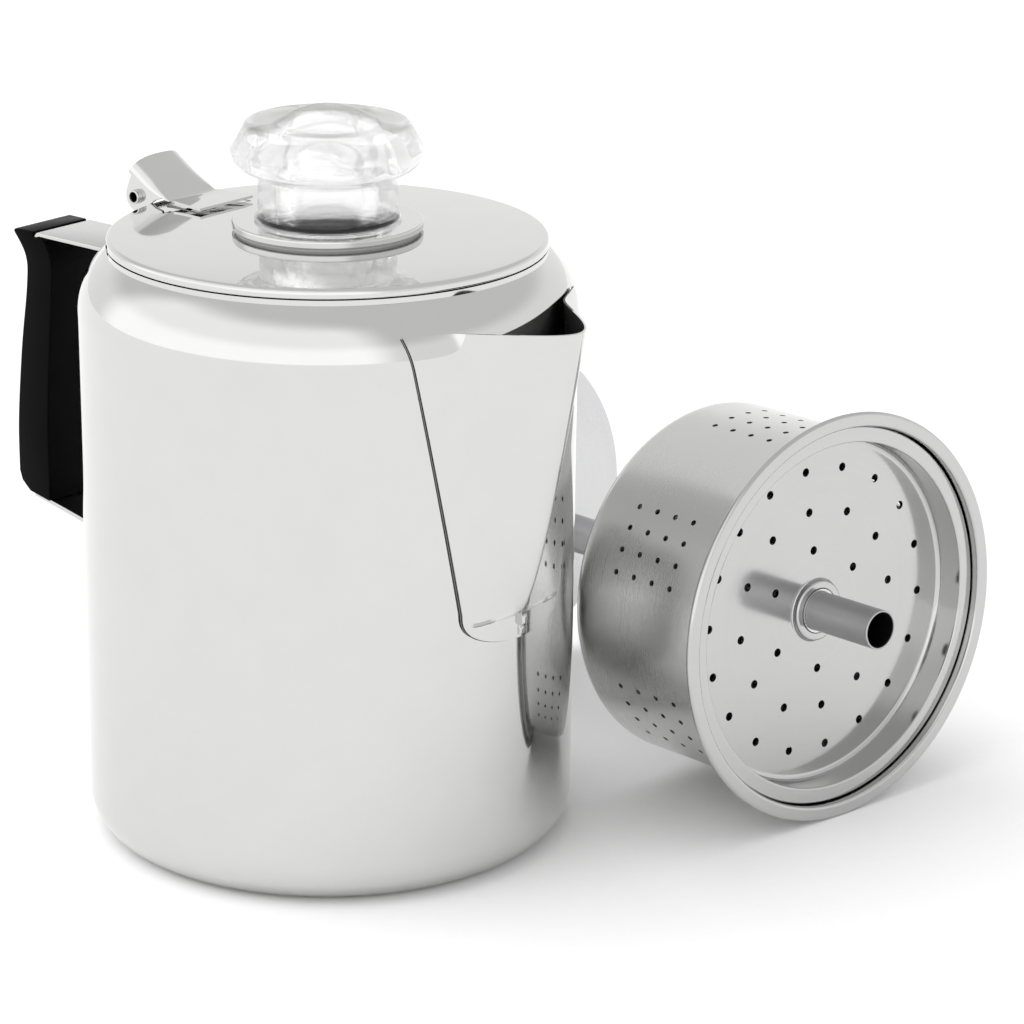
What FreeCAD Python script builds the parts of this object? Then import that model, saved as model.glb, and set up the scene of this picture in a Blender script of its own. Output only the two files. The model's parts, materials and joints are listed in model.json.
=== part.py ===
import FreeCAD, Part
import math
import os
from FreeCAD import Vector

# A stove-top camping coffee percolator: a steel pot with a folded spout, a black
# grip on two steel straps, a hinged lid with a clear knob, and the pump assembly
# (stem, base bell, basket and spreader) lying beside the pot.
#
# Millimetres. +Z is up, the origin is the centre of the pot's base, +X points
# along the spout and the hinge and the grip are on the -X side.

X_AXIS, Y_AXIS, Z_AXIS = Vector(1, 0, 0), Vector(0, 1, 0), Vector(0, 0, 1)
ORIGIN = Vector(0, 0, 0)

# ---- clearances -----------------------------------------------------------
REST_GAP = 0.2        # between flat faces of parts that lift apart
LOOSE_GAP = 0.4       # between parts that drop into one another
RUNNING_GAP = 0.05    # radial, hinge pin in the leaf
SLIP_GAP = 0.10       # radial, basket sleeve on the stem, knob in its ring
STEP = 0.3            # between curved faces on different bodies

# ---- pot ------------------------------------------------------------------
WALL = 0.6
POT_R = 65.0          # outside, at the top of the straight wall
SHOULDER_Z = 142.3    # height of the straight wall
SHOULDER_R = 19.0
CORNER_R = 10.5
WALL_TAPER = 0.4      # how much smaller the wall's radius is at the base
MOUTH_INSET = 8.4     # from the wall's outside to the inside of the mouth
LIP_H = 1.352         # straight lip above the shoulder

# ---- spout ----------------------------------------------------------------
SPOUT_T = 0.8
SPOUT_RISE = 8.2      # of the spout's rim above the straight wall
SPOUT_L = 81.5        # from the rim down to the foot
SPOUT_PROUD = 18.6    # from the pot's wall to the lip of the spout
LIP_NOSE_R = 4.4      # round of the spout's lip, seen from above
FOOT_NOSE_R = 1.0
ROOT_HALF = 22.0      # half the spout's width at the wall, at the top
FOOT_HALF = 1.6
WING_T = 0.6          # the welded flange that lies on the wall
WING_TOP_HALF = 33.0
WING_LOW_HALF = 19.3
WING_LOW_RISE = 7.5   # the flange's heights count from the spout's foot
WING_FOOT_DROP = 2.3
WING_CORNER = (15.6, 0.6)
WING_FOOT_HALF = 8.0
KEEL_T = 1.5          # the pinched fold at the foot of the front
KEEL_PROUD = 0.7
KEEL_H = 31.0
STRAINER_HOLE_R = 1.5
STRAINER_PITCH = 5.5
STRAINER_RISE = 19.0  # of the lowest hole above the spout's foot
STRAINER_ROWS = 9

# ---- lid ------------------------------------------------------------------
LID_OVERHANG = 0.1    # of the lid's rim over the mouth's outside
LID_RIM_H = 2.7
LID_T = 0.8
LID_CROWN = 1.0
RIM_W = 2.3
SKIRT_H = 2.0
COLLAR_R = 24.8       # steel collar round the knob
COLLAR_T = 2.0
GASKET_R = 24.0
GASKET_T = 0.6

# ---- knob -----------------------------------------------------------------
NECK_R = 18.1
NECK_TOP = 15.4       # above the lid's rim
HEAD_R = 25.1
HEAD_WIDEST = 22.0
HEAD_ROUND = 2.3
CROWN_R = 20.6
CROWN_H = 29.4
CROWN_BEVEL = 1.2
CAP_R = 13.4
CAP_H = 29.0
KNOB_H = 33.6
WELL_R = 13.0
WELL_TOP = 24.0
FLUTES = 10
FLUTE_R = 9.0
FLUTE_DEPTH = 1.3
RETAINER_R = 22.0
RETAINER_T = 3.0
RETAINER_GAP = 0.4

# ---- hinge ----------------------------------------------------------------
PIN_SETBACK = 3.7     # of the pin behind the lid's rim
PIN_RISE = 1.1        # of the pin above the lid's rim
PIN_R = 1.9
PIN_BORE_R = 1.25
PIN_OVERHANG = 1.6
CHEEK_HALF = 8.4      # outside of the leaf's cheeks, from the middle
LEAF_T = 1.0
LEAF_L = 24.0         # from the pin to the end of the leaf
LEAF_END_HALF = 9.7
LEAF_BEND = 8.5       # from the pin to the bend of the leaf
LEAF_LIFT = 1.0       # the leaf stands off the lid's rim on its weld feet
WELD_FOOT_R = 2.2
WELD_FOOT_SHARES = (0.3, 0.8)
CHEEK_EYE_R = 4.5
CHEEK_FLAT_H = 1.0
CHEEK_EYE_END = 345   # degrees, where the eye's round meets the leaf
TAB_BACK = 1.6        # of the tab's end behind the pin
TAB_RISE = 8.2
TAB_ARCH = 2.5
LUG_EYE_R = 2.9
LUG_T = 1.4
LUG_SIDE_GAP = 0.4
LUG_EAR_DROP = 1.0    # below the lid's rim
LUG_FOOT_DROP = 2.2   # below the mouth's lip

# ---- grip and straps ------------------------------------------------------
GRIP_HALF = 10.2
GRIP_ROUND = 2.2
GRIP_RISE = 4.7       # of the grip's top above the straight wall
# The grip's sides, as distances out from the pot's wall and down from the grip's top.
GRIP_OUTER_SIDE = [(42.8, 1.0), (38.4, 7.4), (38.4, 16.0), (41.2, 34.0), (43.4, 55.0), (43.6, 70.0)]
GRIP_INNER_SIDE = [(31.6, 69.0), (31.6, 55.0), (30.2, 34.0), (28.6, 16.0), (28.4, 7.4), (31.4, 1.6)]
GRIP_HEEL = 39.4      # out from the wall
GRIP_CREST = 1.0
STRAP_T = 1.2
STRAP_HALF = 10.0
STRAP_REACH = 35.0    # out from the wall
STRAP_TONGUE = 9.0
STRAP_FLANGE = 2.6
SADDLE_H = 11.0
SADDLE_T = 1.0
LOW_STRAP_HALF = 9.0
LOW_STRAP_REACH = 37.6
LOW_STRAP_DROP = 77.1 # of its underside below the grip's top, at its end
LOW_STRAP_SLOPE = 0.20
SCREW_R = 2.0
SCREW_HEAD_R = 3.6
SCREW_HEAD_H = 1.8
SCREW_SLOT_W = 1.0
SCREW_SLOT_DEPTH = 0.9
SCREW_LENGTH = 12.0
INSERT_R = 2.8
INSERT_H = 10.0
SCREW_SETBACK = 5.4

# ---- pump: along its own axis, from the basket's flange ---------------------
PUMP_YAW = -9.9       # degrees from +X
PUMP_TOUCH = 59.86    # degrees round the pot from the pump's heading to the touching point
PUMP_WALL_GAP = 0.8   # between the pot and the basket's bottom edge
STEM_R = 5.35
STEM_WALL = 0.6
STEM_NOSE = 13.6
FLANGE_T = 0.9
FLANGE_W = 6.9        # from the basket's side to the flange's edge
BASKET_T = 0.7
BASKET_L = 54.0
BASKET_ROUND = 3.0
RIM_STEP_W = 2.9
RIM_STEP_DEPTH = 3.4
SLEEVE_WALL = 0.6
SPREADER_T = 0.7
SPREADER_DEPTH = 10.9
NECK_EYE_W = 2.65     # from the sleeve's outside to the foot of the neck
NECK_RISE = 1.6
# Each ring of holes: its radius as a share of the basket's, its holes and its first angle.
SPREADER_RINGS = [(0.797, 18, -4.5), (0.564, 12, 5.0), (0.341, 6, 32.5)]
SPREADER_HOLE_R = 1.2
BELL_INSET = 6.2      # how much smaller the bell is than the flange
BELL_X = -148.0
BELL_T = 0.8
BELL_RIM_W = 5.0
BELL_RISE = 13.0
FERRULE_W = 2.05      # the ferrule's and the stop's widths count from the stem
FERRULE_FLARE = 2.0
FERRULE_LIP = 0.8
FERRULE_L = 12.0
STOP_W = 2.85
STOP_L = 3.0
SIEVE_HOLE_R = 0.8
SIEVE_PATCHES = 6
SIEVE_PHASE = 92.0
SIEVE_COUNT = 4
SIEVE_PITCH = 7.0
SIEVE_ANGLE = 7.2
SIEVE_OFFSET = 1.0    # of the patches' middle below the middle of the side
FLOOR_RINGS = [(0.406, 8), (0.649, 16)]

# ---- worked-out places ------------------------------------------------------
BASE_R = POT_R - WALL_TAPER
FLOOR_R = BASE_R - CORNER_R
MOUTH_R = POT_R - MOUTH_INSET
SHOULDER_X = POT_R - SHOULDER_R
LIP_Z = SHOULDER_Z + math.sqrt(SHOULDER_R ** 2 - (MOUTH_R + WALL - SHOULDER_X) ** 2) + LIP_H
SPOUT_TOP_Z = SHOULDER_Z + SPOUT_RISE
SPOUT_FOOT_Z = SPOUT_TOP_Z - SPOUT_L
SPOUT_REACH = POT_R + SPOUT_PROUD
WING_LOW_Z = SPOUT_FOOT_Z + WING_LOW_RISE
WING_FOOT_Z = SPOUT_FOOT_Z - WING_FOOT_DROP
LID_R = MOUTH_R + WALL + LID_OVERHANG
RIM_Z = LIP_Z + REST_GAP
LID_Z = RIM_Z + LID_RIM_H
LID_TOP = LID_Z + LID_CROWN
COLLAR_Z = LID_TOP + GASKET_T
COLLAR_TOP = COLLAR_Z + COLLAR_T
PIN_X = -(LID_R + PIN_SETBACK)
PIN_Z = LID_Z + PIN_RISE
LEAF_END_X = PIN_X + LEAF_L
LEAF_BEND_X = PIN_X + LEAF_BEND
TAB_END_X = PIN_X - TAB_BACK
TAB_END_Z = PIN_Z + TAB_RISE
GRIP_TOP_Z = SHOULDER_Z + GRIP_RISE
GRIP_OUTER = [(-POT_R - out, GRIP_TOP_Z - down) for out, down in GRIP_OUTER_SIDE]
GRIP_INNER = [(-POT_R - out, GRIP_TOP_Z - down) for out, down in GRIP_INNER_SIDE]
GRIP_HEEL_X = -POT_R - GRIP_HEEL
STRAP_END_X = -POT_R - STRAP_REACH
LOW_STRAP_END = (-POT_R - LOW_STRAP_REACH, GRIP_TOP_Z - LOW_STRAP_DROP)
FLANGE_R = MOUTH_R - LOOSE_GAP
BASKET_R = FLANGE_R - FLANGE_W
RIM_STEP_R = BASKET_R + RIM_STEP_W
BELL_R = FLANGE_R - BELL_INSET
STEM_BORE_R = STEM_R - STEM_WALL
SLEEVE_BORE_R = STEM_R + SLIP_GAP
SLEEVE_R = SLEEVE_BORE_R + SLEEVE_WALL
NECK_EYE_R = SLEEVE_R + NECK_EYE_W
FERRULE_R = STEM_R + FERRULE_W
STOP_R = STEM_R + STOP_W
SIEVE_MIDDLE = -BASKET_L / 2 - SIEVE_OFFSET
PUMP_TILT = math.degrees(math.asin((FLANGE_R - BELL_R) / -BELL_X))


class Outline:
    """A closed outline drawn edge by edge in the XZ plane."""

    def __init__(self, x, z):
        self.start = self.at = Vector(x, 0, z)
        self.edges = []

    def line(self, x, z):
        self.edges.append(Part.makeLine(self.at, Vector(x, 0, z)))
        self.at = Vector(x, 0, z)
        return self

    def arc(self, mid, end):
        through, to = Vector(mid[0], 0, mid[1]), Vector(end[0], 0, end[1])
        self.edges.append(Part.Arc(self.at, through, to).toShape())
        self.at = to
        return self

    def bend(self, centre, radius, first, last):
        """An arc about centre, from one angle to another in degrees."""
        def at(angle):
            turn = math.radians(angle)
            return centre[0] + radius * math.cos(turn), centre[1] + radius * math.sin(turn)
        return self.arc(at((first + last) / 2), at(last))

    def dome(self, height):
        """An arc that meets the axis squarely at the height given."""
        rise = height - self.at.z
        radius = (self.at.x ** 2 + rise ** 2) / (2 * rise)
        half = math.asin(self.at.x / radius) / 2
        middle = radius * math.sin(half), height - radius + radius * math.cos(half)
        return self.arc(middle, (0, height))

    def curve(self, points):
        """A smooth curve from the present point through the points given."""
        spline = Part.BSplineCurve()
        spline.interpolate([self.at] + [Vector(x, 0, z) for x, z in points])
        self.edges.append(spline.toShape())
        self.at = Vector(points[-1][0], 0, points[-1][1])
        return self

    def face(self):
        if (self.at - self.start).Length > 1e-6:
            self.line(self.start.x, self.start.z)
        return Part.Face(Part.Wire(self.edges))

    def lathe(self, axis=Z_AXIS):
        return self.face().revolve(ORIGIN, axis, 360)

    def slab(self, low_y, high_y):
        return self.face().translated(Vector(0, low_y, 0)).extrude(Vector(0, high_y - low_y, 0))


def rod(radius, length, base, direction=Z_AXIS):
    return Part.makeCylinder(radius, length, base, direction)


def pipe(radius, bore, length, base, direction=Z_AXIS):
    return rod(radius, length, base, direction).cut(rod(bore, length, base, direction))


def box(low, high):
    return Part.makeBox(high[0] - low[0], high[1] - low[1], high[2] - low[2], Vector(*low))


def turned(shape, angle, axis=Z_AXIS, about=ORIGIN):
    return shape.rotated(about, axis, angle)


def save(name, shape):
    """Write one node, as a group of separate solids where it has more than one."""
    solids = shape.removeSplitter().Solids
    result = solids[0] if len(solids) == 1 else Part.makeCompound(solids)
    result.exportStep("parts/%s.step" % name)


# ---- pot ------------------------------------------------------------------
def pot_solid(inset, top_z=LIP_Z):
    """The pot's body filled in, with its skin moved inwards by inset."""
    mouth = MOUTH_R + WALL - inset
    shoulder = SHOULDER_R - inset
    corner = CORNER_R - inset
    lean = math.degrees(math.acos((mouth - SHOULDER_X) / shoulder))
    outline = Outline(0, inset).line(FLOOR_R, inset)
    outline.bend((FLOOR_R, CORNER_R), corner, -90, 0)
    outline.line(POT_R - inset, SHOULDER_Z)
    outline.bend((SHOULDER_X, SHOULDER_Z), shoulder, 0, lean)
    return outline.line(mouth, top_z).line(0, top_z).lathe()


def spout_share(z):
    """How far up the spout a height is, from 0 at its foot to 1 at its lip."""
    return (z - SPOUT_FOOT_Z) / (SPOUT_TOP_Z - SPOUT_FOOT_Z)


def keel_x(z):
    return POT_R + spout_share(z) * (SPOUT_REACH - POT_R)


def root_half(z):
    return FOOT_HALF + spout_share(z) * (ROOT_HALF - FOOT_HALF)


def spout_section(z, skin):
    """The spout's V at one height, moved inwards by skin, closed inside the pot."""
    nose_r = FOOT_NOSE_R + spout_share(z) * (LIP_NOSE_R - FOOT_NOSE_R) - skin
    nose_x = keel_x(z) - skin - nose_r
    half = root_half(z) - skin
    root = Vector(math.sqrt(POT_R ** 2 - half ** 2) - 3 * WALL, half, z)
    away = root - Vector(nose_x, 0, z)
    reach = math.atan2(away.y, away.x) - math.acos(nose_r / away.Length)
    touch = Vector(nose_x + nose_r * math.cos(reach), nose_r * math.sin(reach), z)
    far_root, far_touch = (Vector(p.x, -p.y, z) for p in (root, touch))
    nose = Part.Arc(touch, Vector(nose_x + nose_r, 0, z), far_touch).toShape()
    edges = [Part.makeLine(root, touch), nose, Part.makeLine(far_touch, far_root)]
    return Part.Wire(edges + [Part.makeLine(far_root, root)])


def spout_solid(low_z, high_z, skin):
    steps = 4
    heights = [low_z + (high_z - low_z) * i / steps for i in range(steps + 1)]
    return Part.makeLoft([spout_section(z, skin) for z in heights], True, True)


def make_wing():
    """The flange round the spout that lies on the pot's wall, with a U-shaped foot."""
    def side(sign):
        return [Vector(0, sign * WING_TOP_HALF, SPOUT_TOP_Z), Vector(0, sign * WING_LOW_HALF, WING_LOW_Z),
                Vector(0, sign * WING_CORNER[0], SPOUT_FOOT_Z + WING_CORNER[1]),
                Vector(0, sign * WING_FOOT_HALF, WING_FOOT_Z)]
    left, right = side(1), side(-1)
    edges = [Part.makeLine(right[0], left[0]), Part.makeLine(left[0], left[1]),
             Part.Arc(left[1], left[2], left[3]).toShape(), Part.makeLine(left[3], right[3]),
             Part.Arc(right[3], right[2], right[1]).toShape(), Part.makeLine(right[1], right[0])]
    prism = Part.Face(Part.Wire(edges)).extrude(Vector(POT_R + WALL, 0, 0))
    return pot_solid(-WING_T).common(prism)


def make_keel():
    """The pinched fold that stands proud down the front of the spout."""
    low, high = WING_FOOT_Z + WING_T, SPOUT_FOOT_Z + KEEL_H
    outline = Outline(keel_x(low) - SPOUT_T, low).line(keel_x(low) + KEEL_PROUD + WING_T, low)
    outline.line(keel_x(high), high).line(keel_x(high) - SPOUT_T, high)
    return outline.slab(-KEEL_T / 2, KEEL_T / 2)


def make_spout():
    shell = spout_solid(SPOUT_FOOT_Z, SPOUT_TOP_Z, 0).fuse([make_wing(), make_keel()])
    channel = spout_solid(SPOUT_FOOT_Z + 4 * SPOUT_T, SPOUT_TOP_Z + SPOUT_T, SPOUT_T)
    return shell.cut([channel, pot_solid(0)])


def strainer_holes():
    """Drills through the wall behind the spout, in rows that fill its width."""
    drills = []
    for row in range(STRAINER_ROWS):
        z = SPOUT_FOOT_Z + STRAINER_RISE + row * STRAINER_PITCH
        room = root_half(z) - SPOUT_T - 2 * STRAINER_HOLE_R
        count = max(1, 1 + 2 * int(room / STRAINER_PITCH))
        for i in range(count):
            y = (i - (count - 1) / 2) * STRAINER_PITCH
            drills.append(rod(STRAINER_HOLE_R, 3 * SHOULDER_R, Vector(SHOULDER_X, y, z), X_AXIS))
    return drills


def make_pot():
    """The pot's wall with its base corner and shoulder, round the flat floor."""
    shell = pot_solid(0).cut(pot_solid(WALL, LIP_Z + WALL))
    return shell.cut(strainer_holes() + [make_pot_floor()])


def make_pot_floor():
    """The flat middle of the pot's base."""
    return rod(FLOOR_R, WALL, ORIGIN)


# ---- lid and knob -----------------------------------------------------------
def lid_surface(drop, radius):
    """A solid below the lid's crowned top, lowered by drop, out to a radius."""
    def crown(r):
        return LID_TOP - drop - LID_CROWN * (r / LID_R) ** 2
    outline = Outline(0, LIP_Z - SKIRT_H).line(radius, LIP_Z - SKIRT_H).line(radius, crown(radius))
    return outline.dome(crown(0)).lathe()


def make_lid():
    """A crowned plate with a deep rolled rim, a short plug skirt and the knob's hole."""
    skirt_r = MOUTH_R - LOOSE_GAP - SLIP_GAP
    body = lid_surface(0, LID_R)
    body = body.cut(lid_surface(LID_T, skirt_r - LID_T))
    below = pipe(LID_R + WALL, skirt_r, RIM_Z, ORIGIN)
    edges = [e for e in body.Edges if abs(e.BoundBox.ZMin - LID_Z) < 0.05
             and abs(e.BoundBox.XMax - LID_R) < 0.05 and e.BoundBox.ZLength < 0.01]
    return body.makeFillet(LID_T, edges).cut([below, rod(NECK_R + SLIP_GAP + STEP, LID_TOP, ORIGIN)])


def make_gasket(lid):
    seat = lid_surface(0, GASKET_R)
    height = GASKET_T + LID_T
    ring = pipe(GASKET_R, NECK_R + SLIP_GAP + STEP, height, Vector(0, 0, COLLAR_Z - height))
    return ring.cut([seat, lid])


def make_collar():
    body = pipe(COLLAR_R, NECK_R + SLIP_GAP, COLLAR_T, Vector(0, 0, COLLAR_Z))
    edges = [e for e in body.Edges if abs(e.BoundBox.ZMin - COLLAR_TOP) < 0.01
             and e.BoundBox.ZLength < 0.01]
    return body.makeFillet(COLLAR_T / 4, edges)


def make_knob():
    """A clear fluted knob, hollow from below, with a plug end that goes through the lid."""
    retainer_top = LID_Z - LID_T - RETAINER_GAP
    foot_z = retainer_top - RETAINER_T
    seat_z = COLLAR_TOP + STEP
    neck_z, widest_z, crown_z = LID_Z + NECK_TOP, LID_Z + HEAD_WIDEST, LID_Z + CROWN_H
    outline = Outline(0, foot_z).line(NECK_R, foot_z).line(NECK_R, seat_z)
    outline.line(NECK_R + 4 * STEP, seat_z).line(NECK_R + 4 * STEP, seat_z + STEP)
    outline.line(NECK_R, seat_z + 5 * STEP).line(NECK_R, neck_z)
    outline.arc((HEAD_R - HEAD_ROUND, neck_z + HEAD_ROUND), (HEAD_R, widest_z))
    outline.line(CROWN_R + CROWN_BEVEL, crown_z - CROWN_BEVEL).line(CROWN_R, crown_z)
    outline.line(CAP_R, LID_Z + CAP_H)
    body = outline.dome(LID_Z + KNOB_H).lathe()
    flutes = [turned(rod(FLUTE_R, KNOB_H, Vector(HEAD_R + FLUTE_R - FLUTE_DEPTH, 0, neck_z)),
                     i * 360 / FLUTES) for i in range(FLUTES)]
    well = Outline(0, foot_z).line(WELL_R, foot_z).line(WELL_R, LID_Z + WELL_TOP - WELL_R / 2)
    return body.cut(flutes).cut(well.dome(LID_Z + WELL_TOP).lathe())


def make_retainer():
    """The ring that locks the knob from inside the lid."""
    low = LID_Z - LID_T - RETAINER_GAP - RETAINER_T
    return pipe(RETAINER_R, NECK_R, RETAINER_T, Vector(0, 0, low))


# ---- hinge ------------------------------------------------------------------
def leaf_z():
    return LID_Z + LEAF_LIFT


def both_sides(shape):
    return [shape, shape.mirror(ORIGIN, Y_AXIS)]


def make_cheek():
    """One cheek of the leaf: a plate round the pin's eye, up to the thumb tab."""
    base_z = leaf_z()
    outline = Outline(TAB_END_X, TAB_END_Z)
    outline.line(PIN_X - CHEEK_EYE_R, PIN_Z + CHEEK_FLAT_H).line(PIN_X - CHEEK_EYE_R, PIN_Z)
    outline.bend((PIN_X, PIN_Z), CHEEK_EYE_R, 180, CHEEK_EYE_END)
    outline.line(LEAF_BEND_X, base_z).line(LEAF_BEND_X, base_z + LEAF_T)
    return outline.slab(CHEEK_HALF - LEAF_T, CHEEK_HALF)


def make_thumb_tab():
    """The arched tab between the cheeks, along the slope up from the lid."""
    foot = Vector(LEAF_BEND_X + LEAF_T, 0, leaf_z() + LEAF_T)
    slope = Vector(TAB_END_X, 0, TAB_END_Z) - foot
    up = Vector(-slope.z, 0, slope.x).normalize() * -1

    def arch(drop, half):
        points = [foot + Y_AXIS * y + up * (rise - drop)
                  for y, rise in ((-half, 0), (0, TAB_ARCH), (half, 0))]
        return Part.Arc(*points).toShape()
    outer, inner = arch(0, CHEEK_HALF), arch(LEAF_T, CHEEK_HALF)
    ends = [Part.makeLine(outer.Vertexes[i].Point, inner.Vertexes[i].Point) for i in (0, 1)]
    section = Part.Face(Part.Wire([outer, ends[1], inner, ends[0]]))
    return section.extrude(slope)


def make_leaf(lid):
    """The stamped leaf: a flat tongue on the lid, two cheeks and the thumb tab."""
    low, high = leaf_z(), leaf_z() + LEAF_T
    corners = [Vector(LEAF_END_X, -LEAF_END_HALF, low), Vector(LEAF_END_X, LEAF_END_HALF, low),
               Vector(LEAF_BEND_X - LEAF_T, CHEEK_HALF, low), Vector(LEAF_BEND_X - LEAF_T, -CHEEK_HALF, low)]
    tongue = Part.Face(Part.makePolygon(corners + corners[:1])).extrude(Z_AXIS * LEAF_T)
    places = [LEAF_END_X + (LEAF_BEND_X - LEAF_END_X) * share for share in WELD_FOOT_SHARES]
    feet = [rod(WELD_FOOT_R, high - LIP_Z, Vector(x, 0, LIP_Z)) for x in places]
    feet = [foot.cut(lid_surface(0, LID_R - RIM_W)).cut(lid) for foot in feet]
    feet = [foot for cut in feet for foot in cut.Solids if foot.CenterOfMass.z > LID_Z]
    leaf = tongue.fuse(feet + both_sides(make_cheek()) + [make_thumb_tab()])
    eye = rod(PIN_R + RUNNING_GAP, 4 * CHEEK_HALF, Vector(PIN_X, -2 * CHEEK_HALF, PIN_Z), Y_AXIS)
    return leaf.cut([eye, lid])


def make_pin():
    half = CHEEK_HALF + PIN_OVERHANG
    return pipe(PIN_R, PIN_BORE_R, 2 * half, Vector(PIN_X, -half, PIN_Z), Y_AXIS)


def make_lug():
    """The fixed lug: two ears on a foot that is welded to the pot's shoulder."""
    ear_half = CHEEK_HALF - LEAF_T - LUG_SIDE_GAP
    front_x = -(LID_R + 2 * STEP)
    low_z = SHOULDER_Z + SHOULDER_R / 3
    outline = Outline(PIN_X - LUG_EYE_R, PIN_Z).bend((PIN_X, PIN_Z), LUG_EYE_R, 180, 0)
    outline.line(front_x, RIM_Z - LUG_EAR_DROP).line(front_x, low_z).line(PIN_X - LUG_EYE_R, low_z)
    ear = outline.slab(ear_half - LUG_T, ear_half)
    foot = box((PIN_X - LUG_EYE_R, -ear_half, low_z), (front_x, ear_half, LIP_Z - LUG_FOOT_DROP))
    eye = rod(PIN_R, 4 * CHEEK_HALF, Vector(PIN_X, -2 * CHEEK_HALF, PIN_Z), Y_AXIS)
    return foot.fuse(both_sides(ear)).cut([eye, pot_solid(0)])


# ---- grip and straps ----------------------------------------------------------
def make_grip_blank():
    toe_x = GRIP_INNER[0][0]
    outline = Outline(*GRIP_OUTER[0]).curve(GRIP_OUTER[1:])
    outline.line(GRIP_HEEL_X, low_strap_top(GRIP_HEEL_X))
    outline.line(toe_x, low_strap_top(toe_x)).line(*GRIP_INNER[0]).curve(GRIP_INNER[1:])
    outline.line(GRIP_INNER[-1][0], GRIP_TOP_Z).line(GRIP_OUTER[0][0] + GRIP_CREST, GRIP_TOP_Z)
    return outline.slab(-GRIP_HALF, GRIP_HALF)


def low_strap_top(x):
    """Height of the lower strap's top face, which slopes down towards the pot."""
    return LOW_STRAP_END[1] + STRAP_T - (x - LOW_STRAP_END[0]) * LOW_STRAP_SLOPE


def make_upper_strap():
    """A folded strap from the pot's shoulder, over the grip and down into its slot."""
    low_z = GRIP_TOP_Z - STRAP_T
    top = box((STRAP_END_X, -STRAP_HALF, low_z), (-SHOULDER_X, STRAP_HALF, GRIP_TOP_Z))
    tongue = box((STRAP_END_X, -STRAP_HALF / 2, GRIP_TOP_Z - STRAP_TONGUE),
                 (STRAP_END_X + STRAP_T, STRAP_HALF / 2, GRIP_TOP_Z))
    reach_x = GRIP_INNER[-1][0] + STEP
    corner = (-SHOULDER_X, STRAP_HALF, low_z)
    flange = box((reach_x, STRAP_HALF - STRAP_T, GRIP_TOP_Z - STRAP_FLANGE), corner)
    saddle = box((-POT_R - 2 * SADDLE_T, -STRAP_HALF, GRIP_TOP_Z - SADDLE_H), corner)
    saddle = saddle.common(pot_solid(-SADDLE_T))
    return top.fuse([tongue, saddle] + both_sides(flange)).cut(pot_solid(0))


def make_lower_strap():
    """A sloping strap under the grip, turned down against the pot's wall."""
    def edge(x, drop):
        return x, low_strap_top(x) - drop
    wall_x = -POT_R + 4 * WALL
    outline = Outline(*edge(LOW_STRAP_END[0] - STRAP_T, 0)).line(*edge(wall_x, 0))
    outline.line(*edge(wall_x, STRAP_T)).line(*edge(LOW_STRAP_END[0] - STRAP_T, STRAP_T))
    strip = outline.slab(-LOW_STRAP_HALF, LOW_STRAP_HALF)
    wall_z = low_strap_top(-POT_R)
    corner = (-POT_R - 2 * SADDLE_T, -LOW_STRAP_HALF, wall_z - SADDLE_H)
    tab = box(corner, (-SHOULDER_X, LOW_STRAP_HALF, wall_z))
    return strip.fuse(tab.common(pot_solid(-SADDLE_T))).cut([pot_solid(0), screw_shape(SLIP_GAP)])


def screw_place():
    """The screw's point under the lower strap and its direction up into the grip."""
    x = GRIP_INNER[0][0] - SCREW_SETBACK
    up = Vector(LOW_STRAP_SLOPE, 0, 1).normalize()
    return Vector(x, 0, low_strap_top(x)) - up * STRAP_T, up


def screw_shape(room):
    point, up = screw_place()
    shank = rod(SCREW_R + room, SCREW_LENGTH + room, point, up)
    if room:
        return shank
    head = rod(SCREW_HEAD_R, SCREW_HEAD_H, point - up * SCREW_HEAD_H, up)
    edges = [e for e in head.Edges if (e.CenterOfMass - (point - up * SCREW_HEAD_H)).Length < 0.01
             and e.Length < 7 * SCREW_HEAD_R and e.Closed]
    slot_half = SCREW_SLOT_W / 2
    slot = box((-2 * SCREW_HEAD_R, -slot_half, -SCREW_SLOT_DEPTH), (2 * SCREW_HEAD_R, slot_half, 0))
    slot_floor = point - up * (SCREW_HEAD_H - SCREW_SLOT_DEPTH)
    turn = FreeCAD.Rotation(Z_AXIS, up)
    cross = [turned(slot, a) for a in (0, 90)]
    for piece in cross:
        piece.Placement = FreeCAD.Placement(slot_floor, turn) * piece.Placement
    return shank.fuse(head.makeFillet(SCREW_HEAD_H / 2, edges)).cut(cross)


def make_insert():
    """The threaded sleeve moulded into the grip's foot."""
    point, up = screw_place()
    start = point + up * (STRAP_T + REST_GAP)
    return rod(INSERT_R, INSERT_H, start, up).cut(screw_shape(0))


def make_grip():
    """The grip, with the slot for the strap's tongue and the socket for the insert."""
    blank = make_grip_blank()
    edges = [e for e in blank.Edges if e.BoundBox.YLength < 0.01
             and e.BoundBox.ZLength > GRIP_TOP_Z / 4]
    point, up = screw_place()
    socket = rod(INSERT_R, INSERT_H + STRAP_T + REST_GAP, point, up)
    drill = rod(SCREW_R + SLIP_GAP, SCREW_LENGTH + STRAP_T, point, up)
    recess = box((STRAP_END_X, -STRAP_HALF, GRIP_TOP_Z - STRAP_T), (-POT_R, STRAP_HALF, 2 * GRIP_TOP_Z))
    slot = box((STRAP_END_X, -STRAP_HALF / 2, GRIP_TOP_Z - STRAP_TONGUE),
               (STRAP_END_X + STRAP_T, STRAP_HALF / 2, GRIP_TOP_Z))
    return blank.makeFillet(GRIP_ROUND, edges).cut([socket, drill, recess, slot])


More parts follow.
